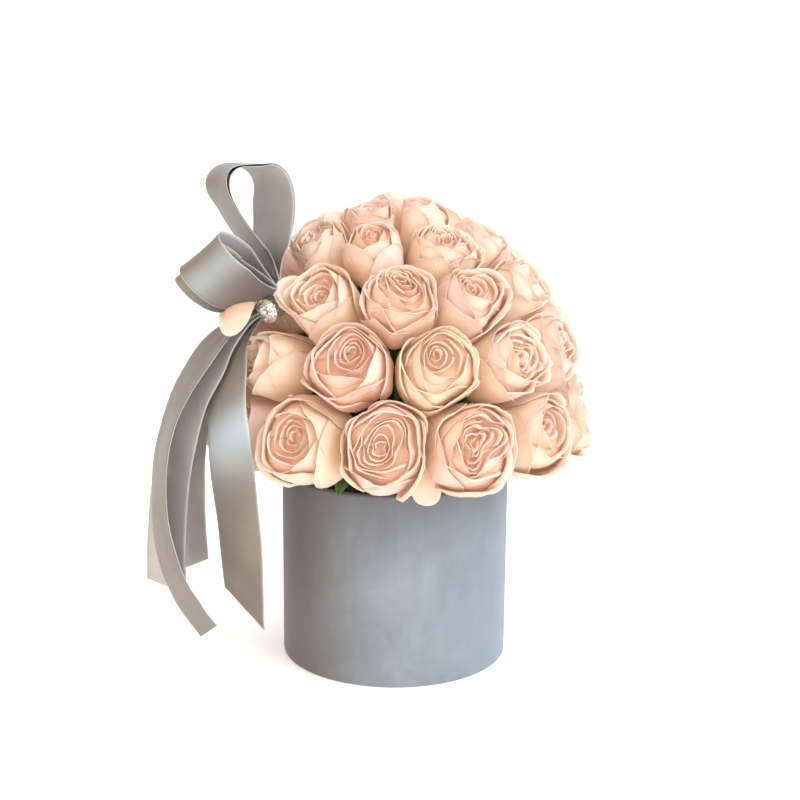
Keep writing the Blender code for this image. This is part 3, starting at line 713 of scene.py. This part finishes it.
def pressed_by(rose, others, obstacles):
    """The planes that a flower's neighbours press it back to, as (normal, offset)."""
    planes = []
    calyx = calyx_of(rose)
    for other in others:
        if other is rose or (other.face - rose.face).length > rose.head + other.head + NEIGHBOUR_REACH:
            continue
        share = rose.head / (rose.head + other.head)
        near = rose.face.lerp(other.face, share)
        deep = calyx.lerp(calyx_of(other), share)
        seam = (near - deep).normalized()
        apart = other.face - rose.face
        normal = (apart - seam * apart.dot(seam)).normalized()
        planes.append((normal, normal.dot(near) - PRESS_GAP / 2))
    for start, end, radius in obstacles:
        mine, theirs = closest_points((calyx, rose.face), (start, end))
        if (theirs - mine).length > rose.head + radius + OBSTACLE_REACH:
            continue
        normal = (theirs - mine).normalized()
        planes.append((normal, min(normal.dot(start), normal.dot(end)) - radius - PRESS_GAP))
    return planes


def outside_radius(height):
    """The radius of the flower's outside at this height, both in head radii."""
    for (r0, h0), (r1, h1) in zip(HEAD_PROFILE, HEAD_PROFILE[1:]):
        if height <= h1:
            return blended(r0, r1, max((height - h0) / (h1 - h0), 0.0))
    return HEAD_PROFILE[-1][0]


def in_its_room(rose, planes, x, y, height):
    """A point of the flower in head radii, drawn in where a neighbour presses on it, and placed."""
    radius = max(math.hypot(x, y), 1e-6)
    out = rose.side * (x / radius) + rose.up * (y / radius)
    centre = rose.face + rose.axis * height * rose.head
    widest = outside_radius(height) * OUTER_ROOM * rose.head
    pressing = 0.0
    for normal, offset in planes:
        lean = normal.dot(out)
        if lean > 1e-6:
            room = max((offset - normal.dot(centre)) / lean, 0.05 * widest)
            pressing += (widest / room) ** ROUNDNESS
    allowed = min(widest, widest * pressing ** (-1.0 / ROUNDNESS)) if pressing else widest
    power = 1.0 + 1.8 * smooth((allowed / widest - 0.5) / 0.35)
    free = min(radius * rose.head, widest * 1.03)
    return centre + out * (free - (widest - allowed) * (free / widest) ** power)


# One petal: the four corners of the curve up its middle, as radius and height, and how it spreads
Petal = collections.namedtuple(
    "Petal", "azimuth half_width curve lip bend lap notch ruffle phase depth tint",
)


def rose_petals(kind, draw):
    """The petals of one head, outermost first, each turned on by the golden angle."""
    turn = draw.uniform(0.0, 360.0)
    return [
        one_petal(kind, draw, k / (kind.petals - 1), turn + GOLDEN_TURN * k) for k in range(kind.petals)
    ]


def rim_height(kind, t):
    """The height of the rims at this share of the way from the outside, 0, to the heart, 1."""
    dome = kind.edge + (kind.crown - kind.edge) * smooth(t / 0.45)
    return dome - kind.hollow * smooth((t - 0.35) / 0.6)


def one_petal(kind, draw, t, azimuth):
    """The petal at this share of the way from the outside, 0, to the heart, 1."""
    shoulder = blended(kind.heart, kind.rim, (1.0 - t) ** kind.spacing)
    shoulder *= draw.uniform(0.98, 1.02)
    belly = blended(kind.belly - 0.03 * t, shoulder + 0.03, smooth(t / 0.72)) * 1.12
    top = rim_height(kind, t) + draw.uniform(-0.03, 0.03)
    depth = blended(1.52, 0.42, smooth(t / 0.9))
    root = blended(0.17, shoulder * 0.7, smooth(t / 0.6))
    curve = (
        (root, top - depth),
        (blended(root, belly, 0.5), top - depth * 0.82),
        (belly, top - depth * 0.30),
        (shoulder, top),
    )
    return Petal(
        azimuth=azimuth + draw.uniform(-7.0, 7.0),
        half_width=blended(56.0, 88.0, t) * draw.uniform(0.92, 1.06),
        curve=curve,
        lip=blended(0.17, 0.075, smooth(t / 0.8)) * draw.uniform(0.8, 1.15),
        bend=kind.roll * blended(1.0, 0.72, smooth(t / 0.8)) * draw.uniform(0.7, 1.2),
        lap=blended(0.045, 0.010, t),
        notch=blended(0.42, 0.20, t),
        ruffle=kind.ruffle * draw.uniform(0.6, 1.5) * blended(1.0, 0.4, t),
        phase=draw.uniform(0.0, 6.28),
        depth=t,
        tint=draw.random(),
    )


def cup_curve(curve, amount):
    """Radius, height and lean from upright at a share of the way up a petal's middle."""
    back = 1.0 - amount
    weights = (back ** 3, 3 * back ** 2 * amount, 3 * back * amount ** 2, amount ** 3)
    radius, height = (sum(w * p[i] for w, p in zip(weights, curve)) for i in (0, 1))
    slopes = (back ** 2, 2 * back * amount, amount ** 2)
    rise = [sum(w * (q[i] - p[i]) for w, p, q in zip(slopes, curve, curve[1:])) for i in (0, 1)]
    return radius, height, math.atan2(*rise)


def rounding(across, power):
    """How far a petal's rim is rounded off here, from 0 in the middle to nearly 1 at its sides."""
    return 1.0 - math.sqrt(1.0 - 0.999 * abs(across) ** power)


def petal_point(petal, across, along):
    """A point of a petal in head radii: x and y across the head, and its height."""
    outline = 1.0 - petal.notch * rounding(across, 2.6)
    radius, height, lean = cup_curve(petal.curve, min(along / LIP_START, 1.0) * outline)
    radius -= petal.lap * across * min(along * 1.5, 1.0)
    share = max(along - LIP_START, 0.0) / (1.0 - LIP_START)
    bend = petal.bend * (0.75 + 0.45 * across * across)
    lip = petal.lip * (1.0 + 0.16 * math.exp(-((across / 0.30) ** 2))) * (1.0 - 0.88 * abs(across) ** 5)
    turn = bend * share
    curl = lip / bend
    radius += curl * (math.cos(lean) - math.cos(lean + turn))
    height += curl * (math.sin(lean + turn) - math.sin(lean))
    wave = along ** 4 * petal.ruffle
    radius += wave * math.sin(5.3 * across + petal.phase)
    height += wave * math.sin(7.1 * across + 1.7 * petal.phase)
    height += wave * 0.6 * math.sin(13.0 * across - petal.phase)
    width = petal.half_width * blended(0.55, 1.0, smooth(along / 0.6))
    angle = math.radians(petal.azimuth + width * across)
    return radius * math.cos(angle), radius * math.sin(angle), height


def folded(kind, seed, turned_up, x, y, height):
    """The same point with the heart folded into its lobes, and the whole head a little out of true."""
    from_middle = math.hypot(x, y)
    inner = 1.0 - smooth((from_middle - 0.25) / 0.45)
    if kind.lobes:
        angle = math.atan2(y, x)
        grow = 1.0 + 0.30 * inner * math.cos(kind.lobes * (angle + 1.8 * from_middle) + seed)
        x *= grow
        y *= grow
    place = Vector((x, y, height * 0.5)) * 1.3 + Vector((seed * 3.1, 0.0, 0.0))
    push = noise.noise_vector(place) * 0.13 + noise.noise_vector(place * 2.7) * 0.035
    lean = Vector((math.cos(seed * 2.4), math.sin(seed * 2.4))) * 0.06 * inner
    lean.y += turned_up * (1.0 - smooth(from_middle / MOUTH_REACH))
    return x + push.x + lean.x, y + push.y + lean.y, height + push.z * 0.6


def over_the_knot(above, rose, below, x, y, height):
    """A point of the rose beside the bow: drawn in behind the knot, its upper petals laid over it."""
    away = (KNOT - rose.face) / rose.head
    knot_angle = math.atan2(away.dot(rose.up), away.dot(rose.side))
    off = math.remainder(math.atan2(y, x) - knot_angle, 2 * math.pi)
    near = math.exp(-((off / 0.95) ** 2)) * smooth((math.hypot(x, y) - 0.55) / 0.40)
    upper = smooth((height + 0.20) / 0.14)
    kept_back = in_its_room(rose, below, x, y, height)
    laid_over = in_its_room(rose, above, x, y, height + 0.22 * near * upper)
    return kept_back.lerp(laid_over, upper)


def tail_guard(tail):
    """Stations down a tail, as (centre, facing, across, half width), for keeping petals behind it."""
    place = tail_place(tail)
    stations = []
    for k in range(TAIL_GUARDS + 1):
        centre, across, width = place(k / TAIL_GUARDS)
        stations.append((centre, across.cross(Vector((0, 0, 1))), across, width / 2))
    return stations


def kept_behind(point, stations):
    """The point, drawn back where it would come through the tail."""
    centre, facing, across, half = min(stations, key=lambda station: abs(station[0].z - point.z))
    away = point - centre
    through = away.dot(facing) + TAIL_CLEARANCE
    if 0.0 < through < TAIL_REACH and abs(away.dot(across)) < half + TAIL_CLEARANCE:
        return point - facing * through
    return point


def petal_grid(number):
    return next(cells for last, cells in PETAL_GRIDS if number < last)


def model_rose(rose, planes, petal_finish, place_point, guard):
    """The petals of one rose, each a grid bent to its place and given its thickness, round a core."""
    draw = random.Random(rose.seed)
    by_chance = (draw.choice(sorted(KINDS)), draw.uniform(0.15, 0.85), draw.uniform(0.0, 0.25))
    kind_name, blush, turned_up = FRONT_ROSES.get(rose.name, by_chance)
    kind = KINDS[kind_name]
    shape = bmesh.new()
    layers = float_layers(shape, *PETAL_LAYERS)
    thin = shape.verts.layers.deform.new()

    def put(vertex, place, values, thickness):
        set_values(vertex, layers, values)
        vertex[thin][0] = thickness
        spot = place_point(rose, planes, *folded(kind, rose.seed, turned_up, *place))
        vertex.co = kept_behind(spot, guard) if guard else spot

    for number, petal in enumerate(rose_petals(kind, draw)):
        for vertex, across, share in grid_points(shape, *petal_grid(number)):
            along = 1.0 - (1.0 - share) ** 1.5
            values = (along, across, petal.depth, petal.tint, blush)
            edge = min(1.0 - along, (1.0 - abs(across)) * 0.6)
            put(vertex, petal_point(petal, across, along), values, smooth(edge / RIM_WIDTH))
    for vertex, across, along in grid_points(shape, *CORE_GRID):
        radius = CORE_WIDTH * kind.rim * along
        t = 1.0 - max((radius - kind.heart) / (kind.rim - kind.heart), 0.0) ** (1.0 / kind.spacing)
        turn = math.pi * across
        place = (radius * math.cos(turn), radius * math.sin(turn), rim_height(kind, t) - CORE_DEPTH)
        put(vertex, place, (0.45, 0.0, 1.0, 0.5, blush), 1.0)
    head = new_piece(rose.name + "_petals", shape, petal_finish, slot="rose_petals")
    wall = add_wall(head, PETAL_THICKNESS)
    wall.vertex_group = head.vertex_groups.new(name="thickness").name
    wall.thickness_vertex_group = RIM_THINNESS
    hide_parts(rose.name)


def model_fallen_petal(fallen, petal_finish):
    """A petal that still hangs by its foot and lies over what is beside it."""
    shape = bmesh.new()
    layers = float_layers(shape, *PETAL_LAYERS)
    middle = [Vector(point) * 0.001 for point in fallen.line]
    sideways = Vector(fallen.across).normalized()
    for vertex, across, along in grid_points(shape, *FALLEN_GRID):
        amount = along * (1.0 - FALLEN_NOTCH * rounding(across, 2.2))
        down = curve_at(middle, amount + 0.02) - curve_at(middle, amount - 0.02)
        inward = down.cross(sideways).normalized()
        width = fallen.width * blended(0.45, 1.0, smooth(along / 0.5))
        wave = noise.noise(Vector((across * 1.1, along * 2.4, fallen.tint * 9.0))) * FALLEN_WAVE * along
        set_values(vertex, layers, (along, across, 0.55, fallen.tint, fallen.blush))
        vertex.co = (
            curve_at(middle, amount) + sideways * across * width / 2
            + inward * (FALLEN_BOW * across * across + wave)
        )
    piece = new_piece(fallen.name, shape, petal_finish, slot="rose_petals")
    add_wall(piece, PETAL_THICKNESS)


def model_dew(roses):
    """Water drops on the petals of the upper roses, each lying where a straight line meets a petal. They
    are a nearly opaque white: a painted glint.
    """
    # Nearly opaque white drops: the white is a painted glint, not the colour of water
    water, _ = new_material("water", {
        "Base Color": (1.0, 1.0, 1.0, 1.0), "Roughness": 0.04, "Specular IOR Level": 1.0, "Alpha": 0.80,
    })
    shape = bmesh.new()
    for rose in (r for r in roses if r.name[5] in DEWY_RINGS):
        draw = random.Random(rose.seed + DEW_SEED)
        head = bpy.data.objects[rose.name + "_petals"]
        for _ in range(DROPS_EACH):
            turn, radius = draw.uniform(0.0, 2 * math.pi), rose.head * draw.uniform(0.15, 0.95)
            start = rose.face + (rose.side * math.cos(turn) + rose.up * math.sin(turn)) * radius
            hit, place, normal, _ = head.ray_cast(start + rose.axis * rose.head, -rose.axis)
            if not hit or normal.dot(rose.axis) < 0.25:
                continue
            size = draw.uniform(*DROP_SIZES)
            flat = Matrix.Diagonal((size, size * draw.uniform(0.9, 1.3), size * 0.6, 1.0))
            lie = Matrix.Translation(place) @ pointed(normal) @ flat
            bmesh.ops.create_uvsphere(shape, u_segments=8, v_segments=5, radius=1.0, matrix=lie)
    new_piece("dew_drops", shape, water)


def add_tube(shape, start, end, first_radius, last_radius):
    """A straight tapered rod between two places."""
    span = end - start
    place = Matrix.Translation((start + end) / 2) @ pointed(span)
    add_cone(shape, STEM_SIDES, first_radius, last_radius, span.length, place)


def model_greens(rings, roses, planes_of, green):
    """Stem, hip and five sepals under each head, one piece for each ring of roses."""
    for letter in rings:
        shape = bmesh.new()
        for rose in (r for r in roses if r.name[5] == letter):
            draw = random.Random(rose.seed + SEPAL_SEED)
            calyx = calyx_of(rose)
            add_tube(shape, rose.foot, calyx, STEM_RADIUS * 0.9, STEM_RADIUS)
            hip = bmesh.ops.create_icosphere(shape, subdivisions=2, radius=rose.head * HIP_RADIUS)
            bmesh.ops.translate(shape, verts=hip["verts"], vec=calyx + rose.axis * rose.head * HIP_RISE)
            for k in range(5):
                add_sepal(shape, rose, planes_of[rose.name], draw, 72.0 * k + draw.uniform(-9, 9))
        new_piece(f"stems_ring_{letter}", shape, green, slot="green_leaf")


def add_sepal(shape, rose, planes, draw, azimuth):
    """A narrow pointed sepal from the hip, hugging the cup or turned back from it."""
    points = grid_points(shape, 4, 8)
    fold = draw.uniform(0.0, 1.0) ** 2
    for vertex, across, along in points:
        height = blended(-1.66, -1.00, along)
        hug = outside_radius(height) + 0.03
        radius = blended(hug, 0.22 + 0.75 * along, fold)
        height = blended(height, -1.60 - 0.30 * along * along, fold)
        width = 0.15 * math.sin(math.pi * (0.25 + 0.75 * along)) ** 0.8 + 0.004
        turn = math.radians(azimuth)
        x = radius * math.cos(turn) - across * width * math.sin(turn)
        y = radius * math.sin(turn) + across * width * math.cos(turn)
        vertex.co = in_its_room(rose, planes, x, y, height - 0.02 * across * across)
    thicken(shape, points, SEPAL_THICKNESS)


# The bow


def gathered(distance, length, root_width=GATHERED_WIDTH):
    """The width of the ribbon at this distance from the knot, where it opens out over a length."""
    return blended(root_width, RIBBON_WIDTH, smooth(distance / length))


def loop_place(loop):
    """A function from a share of the loop's turn to its centre, the way across, and its width."""
    pair = loop.pair
    toward = Vector(pair.toward).normalized()
    across = Vector(pair.across)
    across = (across - toward * across.dot(toward)).normalized()
    side = toward.cross(across)
    first = math.sqrt(2.0 * (loop.base_gap / 2) / loop.spread)
    rise = loop.length * (1.0 - math.cos(first)) / 2
    start = KNOT + Vector(pair.root).normalized() * (KNOT_RADIUS + LOOP_STAND) - toward * rise

    def place(amount):
        phi = blended(first, 2 * math.pi - first, amount)
        reach = loop.length * (1.0 - math.cos(phi)) / 2
        swing = loop.spread * math.sin(phi) * math.sin(phi / 2) ** pair.closing
        swing *= 1.0 - pair.fan / 60.0 * smooth(0.5 - 0.5 * math.sin(phi))
        drift = blended(pair.aside, loop.drift, smooth((reach - rise) / LOOP_GATHER))
        centre = start + toward * reach + side * swing + across * drift
        away = (reach - rise) / loop.length
        tip = math.radians(pair.twist) * smooth(away)
        open_out = -math.radians(pair.fan) * math.sin(phi) * smooth(away / FAN_REACH)
        fanned = across * math.cos(open_out) + side * math.sin(open_out)
        way = fanned * math.cos(tip) + toward * math.sin(tip)
        return centre, way, gathered(reach - rise, LOOP_GATHER, pair.root_width)

    return place


def tail_place(tail):
    """The same for a tail, from its seat on the knot to its end."""
    aside = tail.layer * TAIL_SPACING
    out = (TAIL_ROOT - TAIL_STACK * TAIL_ROOT.dot(TAIL_STACK)).normalized()
    seat = KNOT + out * math.sqrt((KNOT_RADIUS + TAIL_STAND) ** 2 - aside ** 2) + TAIL_STACK * aside
    middle = [seat] + [Vector((x, y, z)) * 0.001 for x, y, z, _ in tail.route]
    turns = [Vector((azimuth, 0, 0)) for azimuth in (ROOT_FACING, *(stop[3] for stop in tail.route))]
    steps = 60
    travelled = [0.0]
    for k in range(steps):
        step = curve_at(middle, (k + 1) / steps) - curve_at(middle, k / steps)
        travelled.append(travelled[-1] + step.length)

    def place(amount):
        facing = compass(curve_at(turns, amount).x)
        position = amount * steps
        index = min(int(position), steps - 1)
        distance = blended(travelled[index], travelled[index + 1], position - index)
        across = Vector((-facing.y, facing.x, 0.0))
        return curve_at(middle, amount), across, gathered(distance, TAIL_GATHER)

    return place


def model_ribbon(name, place, long, slant, seed, front, back):
    """A ribbon along a place function: soft pleats at the knot, a faint cup across, a little wander."""
    reach = 0.001
    bands = PAINTED_SHEEN.get(name, ())
    shaded = 0.9 if "loop" in name else 0.0
    dimming_along, dimming_at_end = PAINTED_DIMMING.get(name, (0.0, 0.0))
    shape = bmesh.new()
    layers = float_layers(shape, "across", "length", "shade", "sheen")
    centres = [place(k / 200)[0] for k in range(201)]
    length = sum((b - a).length for a, b in zip(centres, centres[1:]))
    for vertex, across, along in grid_points(shape, RIBBON_CELLS, long):
        cut = slant * (1.0 - across) / 2 if slant > 0 else -slant * (1.0 + across) / 2
        amount = along * (1.0 - cut)
        centre, direction, width = place(amount)
        tangent = (place(min(amount + reach, 1.0))[0] - place(max(amount - reach, 0.0))[0]).normalized()
        direction = (direction - tangent * direction.dot(tangent)).normalized()
        normal = tangent.cross(direction)
        tight = 1.0 - (width - GATHERED_WIDTH) / (RIBBON_WIDTH - GATHERED_WIDTH)
        pleat = PLEAT * tight * math.sin(across * 9.0 + seed)
        cup = CUP * (1.0 - tight) * (across * across - 0.4) * math.sin(seed * 1.7 + amount * 5.0)
        wander = WANDER * (1.0 - tight) * noise.noise(Vector((across * 0.7, amount * 9.0, seed)))
        # Painted shade near the knot on the loops, and painted dimming all along a ribbon or towards its
        # end
        near = 1.0 - smooth(((centre - KNOT).length - SHADE_START) / SHADE_REACH)
        painted_dimming = dimming_along + dimming_at_end * smooth((amount - 1.0 + PAINTED_DIMMING_REACH) / PAINTED_DIMMING_REACH)
        # Painted sheen: bands of painted highlight down the ribbon
        sheen = sum(
            strength * math.exp(-(((amount - middle - lean * across) / PAINTED_SHEEN_SPREAD) ** 2))
            for middle, lean, strength in bands
        )
        set_values(vertex, layers, (across, amount * length, max(near * shaded, painted_dimming), sheen))
        vertex.co = centre + direction * across * width / 2 + normal * (pleat + cup + wander)
    piece = new_piece(name + "_satin", shape, front, back, slot="satin_ribbon")
    add_wall(piece, RIBBON_SHOWN).material_offset = 1
    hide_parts(name)


def model_knot(satin):
    """The wrapped knot: a short band drawn round the bow's middle, with folds along the wrap."""
    shape = bmesh.new()
    layers = float_layers(shape, "across", "length")
    bmesh.ops.create_uvsphere(shape, u_segments=72, v_segments=36, radius=1.0)
    for vertex in shape.verts:
        x, y, z = vertex.co
        turn = math.atan2(y, x)
        fold = 0.055 * math.sin(z * 11.0 + 1.3 * math.sin(turn * 2.0))
        fold += 0.025 * math.sin(z * 23.0 + turn)
        set_values(vertex, layers, (z * 0.9, turn * KNOT_RADIUS))
        vertex.co = vertex.co * (0.93 + fold * (1.0 - z * z))
        vertex.co.z *= 0.94
    place = Matrix.Translation(KNOT) @ pointed(KNOT_LEAN) @ Matrix.Scale(KNOT_RADIUS, 4)
    bmesh.ops.transform(shape, verts=shape.verts, matrix=place)
    knot = new_piece("knot", shape, satin, slot="satin_ribbon")
    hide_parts("bow_knot")


def add_stone(shape, matrix, material):
    """A small round cut stone: a table, a crown and a girdle."""
    made = add_cone(shape, 8, 1.0, 0.52, 0.55, matrix @ Matrix.Translation((0, 0, 0.45)))
    made += add_cone(shape, 8, 0.45, 1.0, 0.34, matrix)
    for vertex in made:
        for face in vertex.link_faces:
            face.material_index = material


def model_brooch(metal, stone, champagne):
    """A round cluster: one large stone, a ring of small ones round it and a lower ring outside."""
    base = Matrix.Translation(KNOT + BROOCH_FACING * (KNOT_RADIUS + GAP))
    base = base @ pointed(BROOCH_FACING) @ Matrix.Scale(BROOCH_SHOWN, 4)
    shape = bmesh.new()
    for first, last, depth, height in ((0.86, 0.92, 0.0014, 0.0007), (0.90, 0.40, 0.0016, 0.0022)):
        place = base @ Matrix.Translation((0, 0, height))
        add_cone(shape, 32, BROOCH_RADIUS * first, BROOCH_RADIUS * last, depth, place)
    bevelled = [edge for edge in shape.edges if edge.calc_length() < BROOCH_RADIUS * 0.3]
    bmesh.ops.bevel(
        shape, geom=bevelled, offset=0.0002, segments=2, profile=0.5, affect="EDGES", material=-1,
    )
    for number, (count, radius, height, size, lean) in enumerate(STONE_RINGS):
        for k in range(count):
            spin = Matrix.Rotation(2 * math.pi * k / count + number * 0.3, 4, "Z")
            seat = base @ spin @ Matrix.Translation((radius, 0, height))
            seat = seat @ Matrix.Rotation(math.radians(lean), 4, "Y") @ Matrix.Scale(size, 4)
            add_stone(shape, seat, 1 + (k + number) % 2)
    brooch = new_piece("stone_brooch", shape, metal, stone, champagne, slot="cut_stones")
    brooch.data.set_sharp_from_angle(angle=math.radians(20))
    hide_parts("brooch")


# The leaf at the rim


LEAF_FOOT = polar(LEAF_AZIMUTH, 0.056, 0.143)
LEAF_HEART = polar(LEAF_AZIMUTH, 0.088, 0.147)
# Each leaflet: its turn from straight out in degrees, its length, its width and how far it is raised
LEAFLETS = ((-72.0, 0.022, 0.010, 0.00025), (0.0, 0.020, 0.011, 0.0), (68.0, 0.022, 0.010, -0.00025))
LEAF_TEETH = 11
TOOTH_DEPTH = 0.13


def model_leaf(green):
    """Three toothed leaflets with a sunken midrib, on one stalk."""
    shape = bmesh.new()
    add_tube(shape, LEAF_FOOT, LEAF_HEART, STALK_RADIUS, STALK_RADIUS * 0.7)
    out = compass(LEAF_AZIMUTH)
    left = compass(LEAF_AZIMUTH + 90.0)
    for turn, length, width, raised in LEAFLETS:
        angle = math.radians(turn)
        reach = out * math.cos(angle) + left * math.sin(angle)
        flat = Vector((0, 0, 1)).cross(reach)
        points = grid_points(shape, 10, 44)
        for vertex, across, along in points:
            outline = math.sin(math.pi * along ** 0.85) ** 0.75
            tooth = (along * LEAF_TEETH) % 1.0
            half = width / 2 * outline * (1.0 - TOOTH_DEPTH * tooth * abs(across) ** 3)
            rib = 0.0009 * (1.0 - abs(across)) ** 3 + 0.0003 * math.sin(along * 44 - 9 * abs(across))
            centre = LEAF_HEART + reach * length * (along - 0.06)
            arch = 0.004 * math.sin(math.pi * along) - 0.004 * along * along
            lift = raised + arch - 0.0016 * across * across - rib
            vertex.co = centre + flat * half * across + Vector((0, 0, lift))
        thicken(shape, points, LEAF_THICKNESS)
    leaf = new_piece("rim_leaf", shape, green, slot="green_leaf")
    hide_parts("leaf_at_rim")


# Stage, light and camera


def set_stage():
    """A pale floor that curves up into a backdrop, and soft lights."""
    shape = bmesh.new()
    profile = [(-4.0, 0.0)] + arc((2.6, 1.6), 1.6, -90, 0, 16) + [(4.2, 5.0)]
    _, edges = add_line(shape, [(-5.0, y, z) for y, z in profile])
    swept = bmesh.ops.extrude_edge_only(shape, edges=edges)
    moved = [item for item in swept["geom"] if isinstance(item, bmesh.types.BMVert)]
    bmesh.ops.translate(shape, verts=moved, vec=(10.0, 0.0, 0.0))
    bmesh.ops.recalc_face_normals(shape, faces=shape.faces)
    paper, _ = new_material("pale floor", {
        "Base Color": (0.95, 0.95, 0.95, 1.0), "Roughness": 0.9,
        "Emission Color": (1.0, 1.0, 1.0, 1.0), "Emission Strength": 0.30,
    })
    floor = as_object("floor", shape, paper)
    set_room_light()
    add_light("window", (1.5, -1.3, 1.5), (0.0, 0.0, 0.15), 1.3, 23.0, (0.82, 0.93, 1.0))
    add_light("fill", (-1.1, -1.6, 0.5), (-0.05, 0.0, 0.20), 0.9, 4.2, (1.0, 0.86, 0.72))


def set_room_light():
    """The room: cool and bright from the right, warm and dimmer from the left."""
    world = bpy.data.worlds.new("soft room")
    world.use_nodes = True
    place = add_node(world, "ShaderNodeTexCoord").outputs["Object"]
    sideways = remapped(world, parts_of(world, place)["X"], -0.9, 0.8)
    sky = colour_ramp(world, sideways, (
        (0.0, (0.60, 0.50, 0.41)), (0.45, (1.25, 1.20, 1.13)), (1.0, (1.30, 1.50, 1.70)),
    ))
    background = world.node_tree.nodes["Background"]
    link(world, sky, background.inputs["Color"])
    set_inputs(background, {"Strength": 1.0})
    bpy.context.scene.world = world


def add_light(name, place, target, size, power, colour):
    light = bpy.data.lights.new(name, "AREA")
    light.size = size
    light.energy = power
    light.color = colour
    made = add_object(name, light)
    made.location = place
    made.rotation_euler = (Vector(target) - Vector(place)).to_track_quat("-Z", "Y").to_euler()


def set_camera():
    lens = bpy.data.cameras.new("camera")
    lens.sensor_width = SENSOR
    lens.lens = SENSOR * FOCAL_PIXELS / PHOTO_SIZE
    camera = add_object("camera", lens)
    camera.location = CAMERA_PLACE
    tilt = Matrix.Rotation(math.radians(90.0 - CAMERA_PITCH), 4, "X")
    roll = Matrix.Rotation(math.radians(CAMERA_ROLL), 4, "Z")
    camera.rotation_euler = (tilt @ roll).to_euler()
    bpy.context.scene.camera = camera
    bpy.context.scene.view_settings.view_transform = "Standard"


def bow_obstacles():
    """What the bow puts beside the roses, as (start, end, radius)."""
    brooch = KNOT + BROOCH_FACING * (KNOT_RADIUS + GAP + BROOCH_THICKNESS / 2)
    return (
        (KNOT, KNOT, KNOT_RADIUS),
        (brooch, brooch, BROOCH_RADIUS),
        (KNOT, PICK_FOOT, PICK_RADIUS),
        (Vector((-0.086, -0.060, 0.252)), Vector((-0.100, -0.060, 0.246)), 0.0060),
        (Vector((-0.075, -0.055, 0.268)), Vector((-0.077, -0.036, 0.282)), 0.0060),
    )


def finish_kept_nodes():
    """The hidden pieces of the frame stay as they are, with their own materials."""
    board = plain_material("grey board", (0.30, 0.27, 0.24), (0.42, 0.39, 0.35), 400.0, 0.9)
    # The foam is a dark wet green, made darker and greyer still as painted shade where it shows between
    # the roses
    foam = plain_material(
        "wet foam", (0.014, 0.019, 0.013), (0.040, 0.048, 0.036), 900.0, 0.8, bump=0.0010,
    )
    wood = plain_material("split wood", (0.42, 0.29, 0.16), (0.66, 0.50, 0.31), 300.0, 0.7)
    film = clear_material("clear film", (0.85, 0.87, 0.87), 0.2, 1.45)
    for name, material in (
        ("box_tube", board), ("box_floor", board), ("floral_foam", foam), ("bow_pick", wood),
        ("plastic_liner", film),
    ):
        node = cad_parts[name]
        node.data.materials.clear()
        node.data.materials.append(material)


def main():
    noise.seed_set(SEED)
    set_stage()
    set_camera()
    finish_kept_nodes()
    model_velvet(velvet_material())

    petal_finish = petal_material()
    green = green_material("stem green", (0.05, 0.12, 0.025), (0.17, 0.27, 0.07), 260.0)
    leaf_green = green_material("leaf green", (0.025, 0.075, 0.018), (0.075, 0.16, 0.04), 200.0)
    roses = place_roses()
    around = bow_obstacles()
    planes_of = {rose.name: pressed_by(rose, roses, around) for rose in roses}
    front_tail = tail_guard(TAILS[0])
    for rose in roses:
        place_point = in_its_room
        if rose.name == ROSE_AT_BOW:
            place_point = partial(over_the_knot, pressed_by(rose, roses, ()))
        guard = front_tail if rose.name in ROSES_BY_TAIL else None
        model_rose(rose, planes_of[rose.name], petal_finish, place_point, guard)
    for fallen in FALLEN:
        model_fallen_petal(fallen, petal_finish)
    model_dew(roses)
    model_greens("abcde", roses, planes_of, green)

    satin = satin_material(
        "satin face", (0.325, 0.276, 0.228), (0.265, 0.222, 0.18), 0.42, 0.15, 900.0, 0.95,
    )
    matte = satin_material(
        "satin back", (0.57, 0.510, 0.483), (0.46, 0.408, 0.385), 0.62, 0.0, 2400.0, 0.6,
    )
    model_knot(satin)
    for number, loop in enumerate(LOOPS):
        model_ribbon(loop.name, loop_place(loop), LOOP_CELLS, 0.0, number + 1.0, matte, satin)
    for number, tail in enumerate(TAILS):
        faces = (matte, satin) if tail.satin_out else (satin, matte)
        model_ribbon(tail.name, tail_place(tail), TAIL_CELLS, tail.slant, number + 5.0, *faces)
    metal = plain_material(
        "pale metal", (0.72, 0.66, 0.52), (0.86, 0.80, 0.66), 500.0, 0.25, 1.0, 0.0001,
    )
    stone = clear_material("clear stone", (0.98, 0.98, 0.96), 0.03, 1.9)
    champagne = clear_material("champagne stone", (0.95, 0.86, 0.66), 0.03, 1.9)
    model_brooch(metal, stone, champagne)
    model_leaf(leaf_green)


main()
